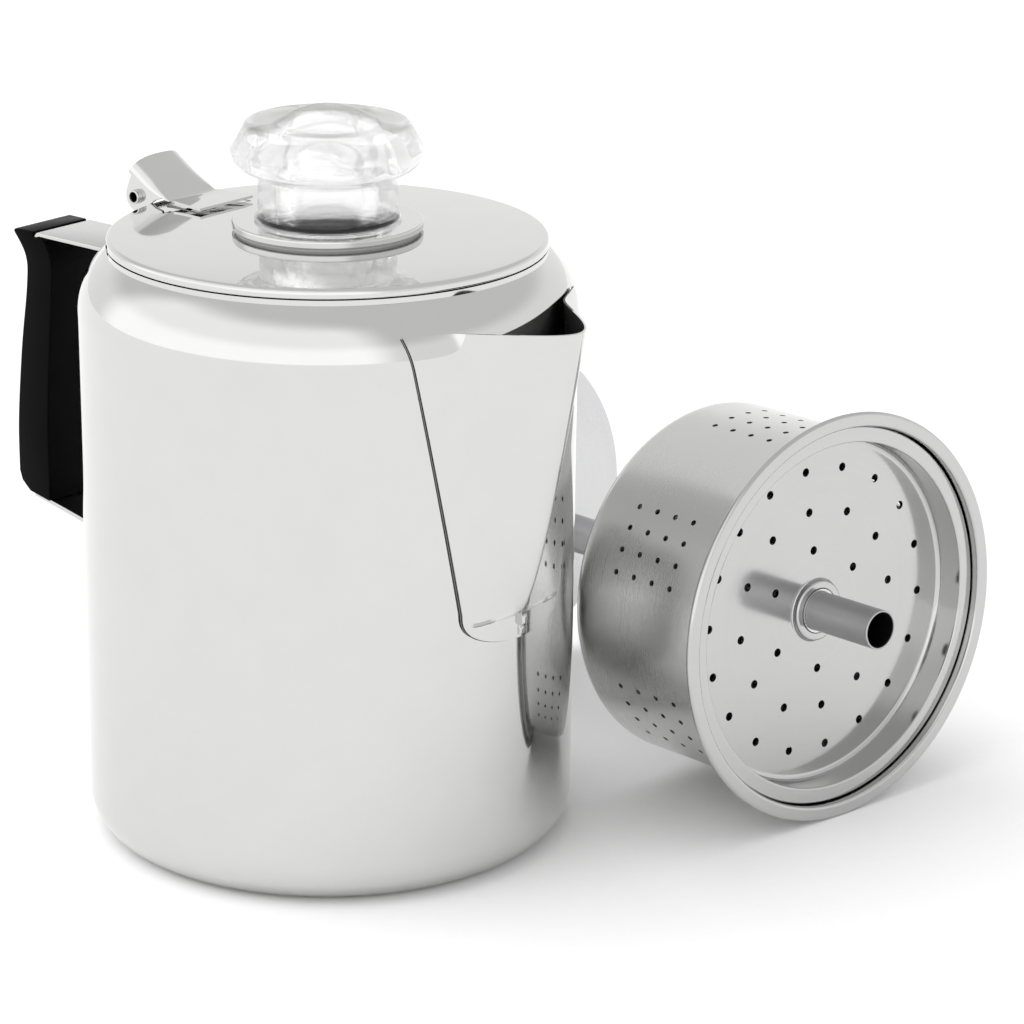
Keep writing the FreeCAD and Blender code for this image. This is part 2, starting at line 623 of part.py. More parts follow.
# ---- pump, built along +X from the basket's flange ---------------------------
def place_pump(shape):
    """Lay the pump on its flange and bell, with its basket against the pot's wall."""
    touch = math.radians(PUMP_TOUCH)
    offset = (POT_R + PUMP_WALL_GAP) * math.sin(touch) + BASKET_R
    behind = (POT_R + PUMP_WALL_GAP) * math.cos(touch)
    tilt, yaw = math.radians(PUMP_TILT), math.radians(PUMP_YAW)
    along = behind + BASKET_L * math.cos(tilt)
    heading = Vector(math.cos(yaw), math.sin(yaw), 0)
    sideways = Vector(-math.sin(yaw), math.cos(yaw), 0)
    centre = heading * along + sideways * offset + Z_AXIS * (FLANGE_R * math.cos(tilt))
    turn = FreeCAD.Rotation(Z_AXIS, PUMP_YAW).multiply(FreeCAD.Rotation(Y_AXIS, -PUMP_TILT))
    moved = shape.copy()
    moved.Placement = FreeCAD.Placement(centre, turn)
    return moved


def along_axis(outline):
    """Turn an outline of (place, radius) points about the pump's axis."""
    return outline.lathe(X_AXIS)


def make_basket():
    """A drilled cup with a stepped, turned-out rim."""
    t = BASKET_T
    floor_x = -BASKET_L
    skin = Outline(floor_x, SLEEVE_R).line(floor_x, BASKET_R - BASKET_ROUND)
    skin.bend((floor_x + BASKET_ROUND, BASKET_R - BASKET_ROUND), BASKET_ROUND, 180, 90)
    skin.line(-RIM_STEP_DEPTH - t, BASKET_R).line(-RIM_STEP_DEPTH - t, RIM_STEP_R + t)
    skin.line(-FLANGE_T, RIM_STEP_R + t).line(-FLANGE_T - t, FLANGE_R - t).line(-FLANGE_T, FLANGE_R)
    skin.line(0, FLANGE_R).line(0, RIM_STEP_R).line(-RIM_STEP_DEPTH, RIM_STEP_R)
    skin.line(-RIM_STEP_DEPTH, BASKET_R - t)
    skin.line(floor_x + BASKET_ROUND, BASKET_R - t)
    skin.bend((floor_x + BASKET_ROUND, BASKET_R - BASKET_ROUND), BASKET_ROUND - t, 90, 180)
    skin.line(floor_x + t, SLEEVE_R)
    return along_axis(skin).cut(sieve_drills() + floor_drills())


def sieve_drills():
    """Square patches of small holes round the basket's side."""
    drills = []
    middle = (SIEVE_COUNT - 1) / 2
    for patch in range(SIEVE_PATCHES):
        for i in range(SIEVE_COUNT):
            for j in range(SIEVE_COUNT):
                x = SIEVE_MIDDLE + (i - middle) * SIEVE_PITCH
                angle = SIEVE_PHASE + patch * 360 / SIEVE_PATCHES + (j - middle) * SIEVE_ANGLE
                drill = rod(SIEVE_HOLE_R, 4 * BASKET_T, Vector(x, BASKET_R - 2 * BASKET_T, 0), Y_AXIS)
                drills.append(turned(drill, angle, X_AXIS))
    return drills


def floor_drills():
    """Rings of holes in the basket's floor."""
    drills = []
    for share, count in FLOOR_RINGS:
        for i in range(count):
            place = Vector(-BASKET_L - BASKET_T, BASKET_R * share, 0)
            drill = rod(SIEVE_HOLE_R, 3 * BASKET_T, place, X_AXIS)
            drills.append(turned(drill, i * 360 / count, X_AXIS))
    return drills


def make_sleeve():
    """The basket's middle tube, which slides on the stem."""
    length = BASKET_L - SPREADER_DEPTH + NECK_RISE
    return pipe(SLEEVE_R, SLEEVE_BORE_R, length, Vector(-BASKET_L, 0, 0), X_AXIS)


def make_spreader():
    """The drilled spreader: a dish whose lip sits on the basket's step."""
    t = SPREADER_T
    plate_x, lip_x = -SPREADER_DEPTH, -RIM_STEP_DEPTH + REST_GAP
    wall_r = BASKET_R - BASKET_T - STEP
    lip_r = RIM_STEP_R - LOOSE_GAP
    eye_r = SLEEVE_R + SLIP_GAP
    skin = Outline(plate_x - t, NECK_EYE_R).line(plate_x - t, wall_r).line(lip_x, wall_r)
    skin.line(lip_x, lip_r).line(lip_x + t, lip_r).line(lip_x + t, wall_r - t)
    skin.line(plate_x, wall_r - t).line(plate_x, NECK_EYE_R)
    skin.line(plate_x + NECK_RISE, NECK_EYE_R - NECK_RISE).line(plate_x + NECK_RISE, eye_r)
    skin.line(plate_x + NECK_RISE - t, eye_r).line(plate_x + NECK_RISE - t, NECK_EYE_R - NECK_RISE)
    drills = []
    for share, count, phase in SPREADER_RINGS:
        for i in range(count):
            drill = rod(SPREADER_HOLE_R, 3 * t, Vector(plate_x - 2 * t, BASKET_R * share, 0), X_AXIS)
            drills.append(turned(drill, phase + i * 360 / count, X_AXIS))
    return along_axis(skin).cut(drills)


def bell_neck_x():
    return BELL_X + BELL_RISE


def make_stem():
    low = bell_neck_x() - FERRULE_L / 3
    return pipe(STEM_R, STEM_BORE_R, STEM_NOSE - low, Vector(low, 0, 0), X_AXIS)


def make_bell():
    """The wide base that traps the boiling water, dished up to the stem."""
    t = BELL_T
    shoulder_x = BELL_X + BELL_RISE - t
    skin = Outline(BELL_X, BELL_R).line(BELL_X, BELL_R - t).line(BELL_X + 2 * t, BELL_R - BELL_RIM_W)
    skin.line(shoulder_x - t, FERRULE_R + t).line(shoulder_x - t, STEM_R).line(shoulder_x, STEM_R)
    skin.line(shoulder_x, FERRULE_R + t).line(BELL_X + 3 * t, BELL_R - BELL_RIM_W)
    return along_axis(skin.line(BELL_X + 2 * t, BELL_R))


def make_ferrule():
    """The collar that joins the stem to the bell."""
    low = bell_neck_x() - BELL_T
    lip_r, lip_x = STEM_R + FERRULE_LIP, low + FERRULE_L
    skin = Outline(low, STEM_R).line(low, FERRULE_R + FERRULE_FLARE).line(low + BELL_T, FERRULE_R)
    skin.line(lip_x - FERRULE_FLARE, lip_r).line(lip_x, lip_r)
    return along_axis(skin.line(low + FERRULE_L, STEM_R))


def make_stop():
    """The ring pressed on the stem that the basket stands on."""
    low = -BASKET_L - REST_GAP - STOP_L
    return pipe(STOP_R, STEM_R, STOP_L, Vector(low, 0, 0), X_AXIS)


# ---- the whole percolator -----------------------------------------------------
def main():
    os.makedirs("parts", exist_ok=True)
    lid = make_lid()
    nodes = {
        "pot_body": make_pot(),
        "pot_floor": make_pot_floor(),
        "spout": make_spout(),
        "upper_handle_strap": make_upper_strap(),
        "lower_handle_strap": make_lower_strap(),
        "handle_grip": make_grip(),
        "handle_insert": make_insert(),
        "handle_screw": screw_shape(0),
        "hinge_lug": make_lug(),
        "hinge_pin": make_pin(),
        "lid_plate": lid,
        "lid_hinge_leaf": make_leaf(lid),
        "knob_gasket": make_gasket(lid),
        "knob_collar": make_collar(),
        "knob": make_knob(),
        "knob_retainer": make_retainer(),
    }
    pump = {
        "stem_tube": make_stem(),
        "stem_bell": make_bell(),
        "stem_ferrule": make_ferrule(),
        "basket_stop": make_stop(),
        "basket_shell": make_basket(),
        "basket_sleeve": make_sleeve(),
        "spreader_plate": make_spreader(),
    }
    nodes.update({name: place_pump(shape) for name, shape in pump.items()})
    for name, shape in nodes.items():
        save(name, shape)


main()
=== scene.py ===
"""The looks of a stove-top camping percolator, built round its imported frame.

A mirror-polished steel pot with a folded spout, a black grip on two straps and a hinged
lid with a clear knob stands next to its own pump assembly: stem, base bell, basket and
spreader. Sizes in the classes are in millimetres and become metres when a mesh is made.
Plain outlines are lists of (radius, height) points, turned round an axis.
"""

import json
import logging
import math
from collections.abc import Callable, Iterable, Sequence
from dataclasses import dataclass
from enum import Enum

import bmesh
import bpy
from mathutils import Matrix, Vector


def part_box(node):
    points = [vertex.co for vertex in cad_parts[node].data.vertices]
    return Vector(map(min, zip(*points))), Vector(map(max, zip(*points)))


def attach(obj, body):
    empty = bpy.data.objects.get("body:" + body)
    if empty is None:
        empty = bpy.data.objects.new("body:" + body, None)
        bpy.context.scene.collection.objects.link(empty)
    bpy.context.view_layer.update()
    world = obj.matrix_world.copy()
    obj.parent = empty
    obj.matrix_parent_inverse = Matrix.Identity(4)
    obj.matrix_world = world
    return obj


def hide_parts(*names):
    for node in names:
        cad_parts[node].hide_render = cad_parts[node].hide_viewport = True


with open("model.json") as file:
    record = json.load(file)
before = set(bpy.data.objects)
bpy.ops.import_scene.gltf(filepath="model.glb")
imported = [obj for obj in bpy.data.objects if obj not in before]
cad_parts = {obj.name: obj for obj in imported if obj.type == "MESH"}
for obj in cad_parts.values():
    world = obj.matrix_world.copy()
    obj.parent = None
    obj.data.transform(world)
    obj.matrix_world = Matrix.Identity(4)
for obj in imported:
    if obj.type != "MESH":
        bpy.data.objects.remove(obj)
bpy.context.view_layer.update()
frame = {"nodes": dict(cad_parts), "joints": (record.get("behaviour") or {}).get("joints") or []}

MM = 0.001
# Sizes of the patches in the finishes, in millimetres.
CLOUDY_WEAR = 22.0
HANDLED_WEAR = 14.0
FLOW_LINES = 9.0
FINGER_MARKS = 5.0
CARD_FIBRES = 3.0
# How much longer than wide the marks on a drawn tube are.
DRAWN_MARK_LENGTH = 40
LOG = logging.getLogger("percolator")
Outline = list[tuple[float, float]]
Corner = tuple[float, float, float]


# ---- outlines ------------------------------------------------------------------
def arc(centre: tuple[float, float], radius: float, first: float, last: float,
        steps: int = 12) -> Outline:
    """Points along a round stretch of an outline.

    Args:
        centre: centre of the arc.
        radius: its radius.
        first: angle of the first point, in degrees.
        last: angle of the last point, in degrees.
        steps: how many chords the arc is drawn with.

    Returns:
        The points, both ends included.
    """
    turns = [math.radians(first + (last - first) * i / steps) for i in range(steps + 1)]
    return [(centre[0] + radius * math.cos(t), centre[1] + radius * math.sin(t)) for t in turns]


def rounded(corners: Sequence[Corner], steps: int = 6) -> Outline:
    """Round the corners of a closed outline, as a press tool does.

    Args:
        corners: (x, y, bend radius) of each corner, in order.
        steps: how many chords each bend is drawn with.

    Returns:
        The outline's points, with a pair of guard points beside each bend so that the
        flats between bends stay flat when the mesh is shaded smooth.
    """
    outline: Outline = []
    count = len(corners)
    for i, (x, y, radius) in enumerate(corners):
        here = Vector((x, y))
        before = Vector(corners[i - 1][:2]) - here
        after = Vector(corners[(i + 1) % count][:2]) - here
        half = before.angle(after) / 2
        if radius <= 0 or half > math.radians(89):
            outline.append((x, y))
            continue
        reach = min(radius / math.tan(half), 0.48 * before.length, 0.48 * after.length)
        radius = reach * math.tan(half)
        centre = here + (before.normalized() + after.normalized()).normalized() * radius / math.sin(half)
        start, end = here + before.normalized() * reach, here + after.normalized() * reach
        guard = 0.03 * min(before.length, after.length)
        outline.append(tuple(start + before.normalized() * guard))
        first = start - centre
        sweep = first.angle_signed(end - centre)
        for step in range(steps + 1):
            turn = Matrix.Rotation(-sweep * step / steps, 2)
            outline.append(tuple(centre + turn @ first))
        outline.append(tuple(end + after.normalized() * guard))
    return outline


def smooth_path(points: Sequence[tuple[float, float]], steps: int = 8) -> Outline:
    """A smooth curve through a few points.

    Args:
        points: the points, in order.
        steps: how many chords lie between two of them.

    Returns:
        The curve's points.
    """
    padded = [points[0], *points, points[-1]]
    curve: Outline = []
    for a, b, c, d in zip(padded, padded[1:], padded[2:], padded[3:]):
        for step in range(steps):
            t = step / steps
            curve.append(tuple(0.5 * (2 * b[k] + (c[k] - a[k]) * t
                                      + (2 * a[k] - 5 * b[k] + 4 * c[k] - d[k]) * t ** 2
                                      + (3 * b[k] - a[k] - 3 * c[k] + d[k]) * t ** 3) for k in (0, 1)))
    return curve + [points[-1]]


# ---- meshes --------------------------------------------------------------------
def add_object(name: str, data: bpy.types.ID) -> bpy.types.Object:
    """Put a mesh, a curve, a lamp or a camera into the scene as a new object."""
    thing = bpy.data.objects.new(name, data)
    bpy.context.scene.collection.objects.link(thing)
    return thing


def make_piece(name: str, points: Iterable[Sequence[float]], faces: Iterable[Sequence[int]],
               sharp: float = 40.0) -> bpy.types.Object:
    """Make an object from points in millimetres.

    Args:
        name: the piece's name.
        points: the mesh's points.
        faces: the point numbers of each face.
        sharp: the angle above which an edge stays crisp, in degrees.

    Returns:
        The new object, shaded smooth between its crisp edges.
    """
    mesh = bpy.data.meshes.new(name)
    mesh.from_pydata([tuple(c * MM for c in p) for p in points], [], [tuple(f) for f in faces])
    mesh.validate()
    piece = add_object(name, mesh)
    tidy_normals(piece, sharp)
    return piece


def tidy_normals(piece: bpy.types.Object, sharp: float = 40.0) -> None:
    """Turn all faces outwards and shade them smooth up to an angle in degrees."""
    shape = bmesh.new()
    shape.from_mesh(piece.data)
    bmesh.ops.recalc_face_normals(shape, faces=shape.faces)
    shape.to_mesh(piece.data)
    shape.free()
    piece.data.polygons.foreach_set("use_smooth", [True] * len(piece.data.polygons))
    piece.data.set_sharp_from_angle(angle=math.radians(sharp))


def settle(piece: bpy.types.Object, sharp: float = 40.0) -> bpy.types.Object:
    """Apply every modifier of a piece and tidy its shading."""
    graph = bpy.context.evaluated_depsgraph_get()
    mesh = bpy.data.meshes.new_from_object(piece.evaluated_get(graph))
    piece.modifiers.clear()
    piece.data = mesh
    tidy_normals(piece, sharp)
    return piece


def lathe(name: str, outline: Outline, segments: int = 256,
          radial: Callable[[float, float, float], float] | None = None) -> bpy.types.Object:
    """Turn a closed outline of (radius, height) points round the Z axis.

    Args:
        name: the piece's name.
        outline: the closed outline.
        segments: how many steps one turn has.
        radial: changes a point's radius from its radius, height and angle.

    Returns:
        The turned piece.
    """
    points: list[tuple[float, float, float]] = []
    rings: list[list[int]] = []
    for radius, height in outline:
        if radius < 1e-6:
            rings.append([len(points)] * segments)
            points.append((0.0, 0.0, height))
            continue
        rings.append(list(range(len(points), len(points) + segments)))
        for step in range(segments):
            angle = 2 * math.pi * step / segments
            r = radial(radius, height, angle) if radial else radius
            points.append((r * math.cos(angle), r * math.sin(angle), height))
    faces = []
    for low, high in zip(rings, rings[1:] + rings[:1]):
        for step in range(segments):
            following = (step + 1) % segments
            corners = [low[step], low[following], high[following], high[step]]
            unique = list(dict.fromkeys(corners))
            if len(unique) > 2:
                faces.append(unique)
    return make_piece(name, points, faces)


def extrude(name: str, outline: Outline, half: float, edge: float, steps: int = 4) -> bpy.types.Object:
    """Draw a closed (x, z) outline out to both sides in Y and round its rims.

    Args:
        name: the piece's name.
        outline: the closed outline.
        half: how far it reaches to each side.
        edge: the radius of the rounded rims.
        steps: how many chords the rims are rounded with.

    Returns:
        The piece.
    """
    count = len(outline)
    points = [(x, -half, z) for x, z in outline] + [(x, half, z) for x, z in outline]
    faces = [list(range(count)), list(range(2 * count - 1, count - 1, -1))]
    faces += [[i, (i + 1) % count, (i + 1) % count + count, i + count] for i in range(count)]
    piece = make_piece(name, points, faces)
    rim = piece.modifiers.new("rim", "BEVEL")
    rim.width = edge * MM
    rim.segments = steps
    rim.limit_method = "ANGLE"
    rim.angle_limit = math.radians(50)
    rim.harden_normals = False
    return settle(piece)


def drill(piece: bpy.types.Object, holes: Sequence[tuple[Vector, Vector]], radius: float,
          depth: float, sharp: float = 30.0) -> bpy.types.Object:
    """Cut round holes through a piece, in the piece's own frame.

    Args:
        piece: the piece to cut.
        holes: the middle and the direction of each hole, in millimetres.
        radius: the holes' radius.
        depth: how deep the drill goes, half to each side of the middle.
        sharp: the angle above which an edge stays crisp, in degrees.

    Returns:
        The cut piece.
    """
    shape = bmesh.new()
    for middle, direction in holes:
        turn = Vector((0, 0, 1)).rotation_difference(direction).to_matrix().to_4x4()
        bmesh.ops.create_cone(shape, cap_ends=True, segments=20, radius1=radius * MM,
                              radius2=radius * MM, depth=depth * MM,
                              matrix=Matrix.Translation(middle * MM) @ turn)
    mesh = bpy.data.meshes.new("drill")
    shape.to_mesh(mesh)
    shape.free()
    bit = add_object("drill", mesh)
    cut = piece.modifiers.new("cut", "BOOLEAN")
    cut.object = bit
    cut.operation = "DIFFERENCE"
    cut.solver = "EXACT"
    settle(piece, sharp)
    bpy.data.objects.remove(bit)
    return piece


def loft(name: str, rows: Sequence[Sequence[Vector]], sheet: float,
         sharp: float = 50.0) -> bpy.types.Object:
    """Skin rows of points into one bent sheet.

    Args:
        name: the piece's name.
        rows: the rows, each with the same number of points in millimetres, outside first.
        sheet: how thick the sheet is; it grows away from its outside.
        sharp: the angle above which an edge stays crisp, in degrees.

    Returns:
        The piece.
    """
    wide = len(rows[0])
    faces = [(r * wide + c, r * wide + c + 1, (r + 1) * wide + c + 1, (r + 1) * wide + c)
             for r in range(len(rows) - 1) for c in range(wide - 1)]
    mesh = bpy.data.meshes.new(name)
    mesh.from_pydata([tuple(point * MM) for row in rows for point in row], [], faces)
    piece = add_object(name, mesh)
    thick = piece.modifiers.new("thick", "SOLIDIFY")
    thick.thickness = sheet * MM
    thick.offset = -1.0
    return settle(piece, sharp)


def tube(name: str, path: Sequence[Vector], radius: float) -> bpy.types.Object:
    """Draw a thin round bead along a path.

    Args:
        name: the piece's name.
        path: the points along its middle, in millimetres.
        radius: the bead's radius.

    Returns:
        The piece.
    """
    curve = bpy.data.curves.new(name, "CURVE")
    curve.dimensions = "3D"
    curve.bevel_depth = radius * MM
    curve.bevel_resolution = 2
    curve.use_fill_caps = True
    line = curve.splines.new("POLY")
    line.points.add(len(path) - 1)
    for knot, place in zip(line.points, path):
        knot.co = (*(place * MM), 1.0)
    drawn = add_object(name, curve)
    graph = bpy.context.evaluated_depsgraph_get()
    mesh = bpy.data.meshes.new_from_object(drawn.evaluated_get(graph))
    bpy.data.objects.remove(drawn)
    piece = add_object(name, mesh)
    tidy_normals(piece)
    return piece


def soften(node: str, name: str, edge: float) -> bpy.types.Object:
    """Draw a node of the frame again with its sharp rims broken.

    Args:
        node: the frame's node.
        name: the new piece's name.
        edge: how wide the broken rims are.

    Returns:
        The new piece.
    """
    origin = frame["nodes"][node]
    shape = bmesh.new()
    shape.from_mesh(origin.data)
    shape.transform(origin.matrix_world)
    bmesh.ops.remove_doubles(shape, verts=shape.verts, dist=0.002 * MM)
    bmesh.ops.dissolve_limit(shape, angle_limit=math.radians(1.0), verts=shape.verts, edges=shape.edges)
    mesh = bpy.data.meshes.new(name)
    shape.to_mesh(mesh)
    shape.free()
    piece = add_object(name, mesh)
    tidy_normals(piece)
    rim = piece.modifiers.new("rim", "BEVEL")
    rim.width = edge * MM
    rim.segments = 3
    rim.limit_method = "ANGLE"
    rim.angle_limit = math.radians(40)
    return settle(piece, 35)


def frame_top(node: str) -> float:
    """The height of a node's highest point, in millimetres."""
    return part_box(node)[1].z / MM


def frame_low(node: str) -> float:
    """The height of a node's lowest point, in millimetres."""
    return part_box(node)[0].z / MM


# ---- finishes ----------------------------------------------------------------------
def linear(hexcode: str) -> tuple[float, float, float, float]:
    """Turn an sRGB hex colour such as "#C0C0C0" into linear red, green, blue and alpha."""
    parts = [int(hexcode[i:i + 2], 16) / 255 for i in (1, 3, 5)]
    red, green, blue = (p / 12.92 if p <= 0.04045 else ((p + 0.055) / 1.055) ** 2.4 for p in parts)
    return red, green, blue, 1.0


def add_node(tree: bpy.types.NodeTree, kind: str, inputs: dict[str | int, object] | None = None,
             **settings: object) -> bpy.types.Node:
    """Add a node with its settings, and set or link its inputs.

    Args:
        tree: the node tree.
        kind: the node's type name.
        inputs: a value, or another node's output, for each named input.
        **settings: the node's own settings.

    Returns:
        The node.
    """
    node = tree.nodes.new(kind)
    for name, value in settings.items():
        setattr(node, name, value)
    for name, value in (inputs or {}).items():
        socket = node.inputs[name]
        if isinstance(value, bpy.types.NodeSocket):
            tree.links.new(value, socket)
        else:
            socket.default_value = value
    return node


def noise(tree: bpy.types.NodeTree, place: bpy.types.NodeSocket, size: float,
          detail: float) -> bpy.types.NodeSocket:
    """Soft noise whose patches have a size in millimetres."""
    return add_node(tree, "ShaderNodeTexNoise", {"Vector": place, "Scale": 1 / (size * MM),
                                                 "Detail": detail}).outputs[0]


def new_material(name: str) -> tuple[bpy.types.Material, bpy.types.NodeTree, bpy.types.Node]:
    """Start a material: the material itself, its node tree and its shader."""
    material = bpy.data.materials.new(name)
    material.use_nodes = True
    return material, material.node_tree, material.node_tree.nodes["Principled BSDF"]


class Lay(Enum):
    """Which way a metal's fine marks run."""

    EVEN = "even"
    TURNED = "turned"
    DRAWN = "drawn"


@dataclass(frozen=True)
class Metal:
    """A bare metal with fine marks from how it was worked.

    Attributes:
        name: the real metal and how it was finished.
        light: its colour where it is clean.
        dark: its colour where the marks gather.
        smooth: its lowest roughness.
        rough: its highest roughness.
        lay: which way the marks run.
        pitch: the distance between marks, in millimetres.
        depth: how deep the marks are, in millimetres.
    """

    name: str
    light: str
    dark: str
    smooth: float
    rough: float
    lay: Lay
    pitch: float
    depth: float

    def marks(self, tree: bpy.types.NodeTree) -> bpy.types.NodeSocket:
        """The vector along which the marks repeat, one unit to each mark."""
        place = add_node(tree, "ShaderNodeTexCoord").outputs["Object"]
        per_mark = 1 / (self.pitch * MM)
        if self.lay is Lay.EVEN:
            return add_node(tree, "ShaderNodeVectorMath", {0: place, 1: (per_mark,) * 3},
                            operation="MULTIPLY").outputs[0]
        if self.lay is Lay.DRAWN:
            along = per_mark / DRAWN_MARK_LENGTH
            return add_node(tree, "ShaderNodeVectorMath", {0: place, 1: (per_mark, per_mark, along)},
                            operation="MULTIPLY").outputs[0]
        flat = add_node(tree, "ShaderNodeVectorMath", {0: place, 1: (1, 1, 0)}, operation="MULTIPLY")
        out = add_node(tree, "ShaderNodeVectorMath", {0: flat.outputs[0]}, operation="LENGTH")
        apart = add_node(tree, "ShaderNodeSeparateXYZ", {0: place})
        ring = add_node(tree, "ShaderNodeCombineXYZ", {"X": out.outputs["Value"],
                                                       "Z": apart.outputs["Z"]})
        return add_node(tree, "ShaderNodeVectorMath", {0: ring.outputs[0], 1: (per_mark,) * 3},
                        operation="MULTIPLY").outputs[0]

    def build(self) -> bpy.types.Material:
        """Make the material: fine marks in colour, gloss and relief under faint cloudy wear."""
        material, tree, shader = new_material(self.name)
        shader.inputs["Metallic"].default_value = 1.0
        fine = add_node(tree, "ShaderNodeTexNoise", {"Vector": self.marks(tree), "Scale": 1.0,
                                                     "Detail": 3.0, "Roughness": 0.6})
        place = add_node(tree, "ShaderNodeTexCoord").outputs["Object"]
        cloud = noise(tree, place, CLOUDY_WEAR, 2.0)
        both = add_node(tree, "ShaderNodeMix", {"Factor": 0.45, "A": fine.outputs[0], "B": cloud})
        colour = add_node(tree, "ShaderNodeMix", {"Factor": both.outputs["Result"],
                                                  "A": linear(self.light), "B": linear(self.dark)},
                          data_type="RGBA")
        gloss = add_node(tree, "ShaderNodeMapRange", {"Value": both.outputs["Result"], "From Min": 0.3,
                                                      "From Max": 0.7, "To Min": self.smooth,
                                                      "To Max": self.rough})
        relief = add_node(tree, "ShaderNodeBump", {"Height": fine.outputs[0], "Strength": 1.0,
                                                   "Distance": self.depth * MM})
        tree.links.new(colour.outputs["Result"], shader.inputs["Base Color"])
        tree.links.new(gloss.outputs["Result"], shader.inputs["Roughness"])
        tree.links.new(relief.outputs["Normal"], shader.inputs["Normal"])
        return material


@dataclass(frozen=True)
class MouldedPlastic:
    """A solid moulded plastic with the fine grain of its mould.

    Attributes:
        name: the real plastic and how it was made.
        body: its colour.
        scuffed: its colour where it is handled.
        smooth: its lowest roughness.
        rough: its highest roughness.
        grain: the size of the mould's grain, in millimetres.
        depth: the depth of the grain, in millimetres.
        shine: how strong its mirror-like share is.
    """

    name: str
    body: str
    scuffed: str
    smooth: float
    rough: float
    grain: float
    depth: float
    shine: float = 0.5

    def build(self) -> bpy.types.Material:
        """Make the material: a dark body with a fine grain and handled, paler patches."""
        material, tree, shader = new_material(self.name)
        shader.inputs["Specular IOR Level"].default_value = self.shine
        place = add_node(tree, "ShaderNodeTexCoord").outputs["Object"]
        grain = noise(tree, place, self.grain, 2.0)
        wear = noise(tree, place, HANDLED_WEAR, 4.0)
        colour = add_node(tree, "ShaderNodeMix", {"Factor": wear, "A": linear(self.body),
                                                  "B": linear(self.scuffed)}, data_type="RGBA")
        gloss = add_node(tree, "ShaderNodeMapRange", {"Value": wear, "From Min": 0.35,
                                                      "From Max": 0.65, "To Min": self.smooth,
                                                      "To Max": self.rough})
        relief = add_node(tree, "ShaderNodeBump", {"Height": grain, "Strength": 1.0,
                                                   "Distance": self.depth * MM})
        tree.links.new(colour.outputs["Result"], shader.inputs["Base Color"])
        tree.links.new(gloss.outputs["Result"], shader.inputs["Roughness"])
        tree.links.new(relief.outputs["Normal"], shader.inputs["Normal"])
        return material


@dataclass(frozen=True)
class ClearPlastic:
    """A clear moulded plastic.

    Attributes:
        name: the real plastic and how it was made.
        tint: its colour in the thick.
        ior: its index of refraction.
        smooth: its lowest roughness.
        rough: its highest roughness.
        alpha: how much of the light it bends; the rest passes straight through.
        waves: how deep the waves in its skin are, in millimetres.
    """

    name: str
    tint: str
    ior: float
    smooth: float
    rough: float
    alpha: float
    waves: float = 0.25

    def build(self) -> bpy.types.Material:
        """Make the material: clear, with slow flow lines in its skin and a few finger marks."""
        material, tree, shader = new_material(self.name)
        shader.inputs["Base Color"].default_value = linear(self.tint)
        shader.inputs["IOR"].default_value = self.ior
        shader.inputs["Transmission Weight"].default_value = 1.0
        shader.inputs["Alpha"].default_value = self.alpha
        place = add_node(tree, "ShaderNodeTexCoord").outputs["Object"]
        flow = noise(tree, place, FLOW_LINES, 1.0)
        touch = noise(tree, place, FINGER_MARKS, 5.0)
        gloss = add_node(tree, "ShaderNodeMapRange", {"Value": touch, "From Min": 0.45,
                                                      "From Max": 0.7, "To Min": self.smooth,
                                                      "To Max": self.rough})
        relief = add_node(tree, "ShaderNodeBump", {"Height": flow, "Strength": 1.0,
                                                   "Distance": self.waves * MM})
        tree.links.new(gloss.outputs["Result"], shader.inputs["Roughness"])
        tree.links.new(relief.outputs["Normal"], shader.inputs["Normal"])
        return material


# Stainless steel buffed to a mirror: it shows the room, a little bent by the buffing.
MIRROR_STEEL = Metal("stainless_steel_mirror_polished", "#D3D3D2", "#CCCCCB", 0.03, 0.07,
                     Lay.EVEN, 9.0, 0.004)
# Stainless steel buffed before it was folded: soft, slightly broken reflections.
SATIN_STEEL = Metal("stainless_steel_buffed_strip", "#D4D4D3", "#C0C0C0", 0.14, 0.24,
                    Lay.EVEN, 0.8, 0.003)
# Stainless steel spun on a lathe: fine rings round the axis spread its highlights into bands.
SPUN_STEEL = Metal("stainless_steel_spun", "#E0E0DF", "#D3D3D2", 0.22, 0.30, Lay.TURNED, 0.6, 0.0015)
# Stainless steel pressed flat and polished: a mirror dulled by the press.
PRESSED_STEEL = Metal("stainless_steel_pressed_polished", "#C6C6C6", "#BBBBBA", 0.10, 0.17,
                      Lay.TURNED, 1.6, 0.003)
# Stainless steel left as it came from the press, on the inside: dull, and its dark grey is painted shade
# for the hollows of the pot and the spout and the bores of the pin and the stem.
SHADED_INSIDE_STEEL = Metal("stainless_steel_unpolished_inside_painted_shade", "#5C5C5C", "#474747", 0.30, 0.45,
                     Lay.EVEN, 0.6, 0.004)
# The thin weld seams where the spout and the leaf were welded on: their dark grey is painted shade,
# standing in for the shadow line along each seam.
WELD_SEAM_SHADE_LINE = Metal("stainless_steel_weld_seam_painted_shade", "#8C8B89", "#6E6D6B", 0.30, 0.45, Lay.EVEN, 0.5, 0.01)
# Drawn aluminium tube: a grey, silky skin with marks along the tube.
DRAWN_ALUMINIUM = Metal("aluminium_drawn_tube", "#BDBDBE", "#AFAFB1", 0.36, 0.46, Lay.DRAWN, 0.25, 0.003)
# Spun aluminium sheet: pale and silky with rings round the axis.
SPUN_ALUMINIUM = Metal("aluminium_spun_sheet", "#D3D3D4", "#C8C8C9", 0.22, 0.30, Lay.TURNED, 0.6, 0.0012)
# Turned brass, a little dulled: warm and yellow.
TURNED_BRASS = Metal("brass_turned", "#C9A45A", "#A98440", 0.25, 0.35, Lay.TURNED, 0.4, 0.004)
# Phenolic resin, compression moulded: deep black with a low, even sheen.
BLACK_PHENOLIC = MouldedPlastic("phenolic_resin_moulded_black", "#030304", "#060606", 0.32, 0.42,
                                0.5, 0.006, 0.04)
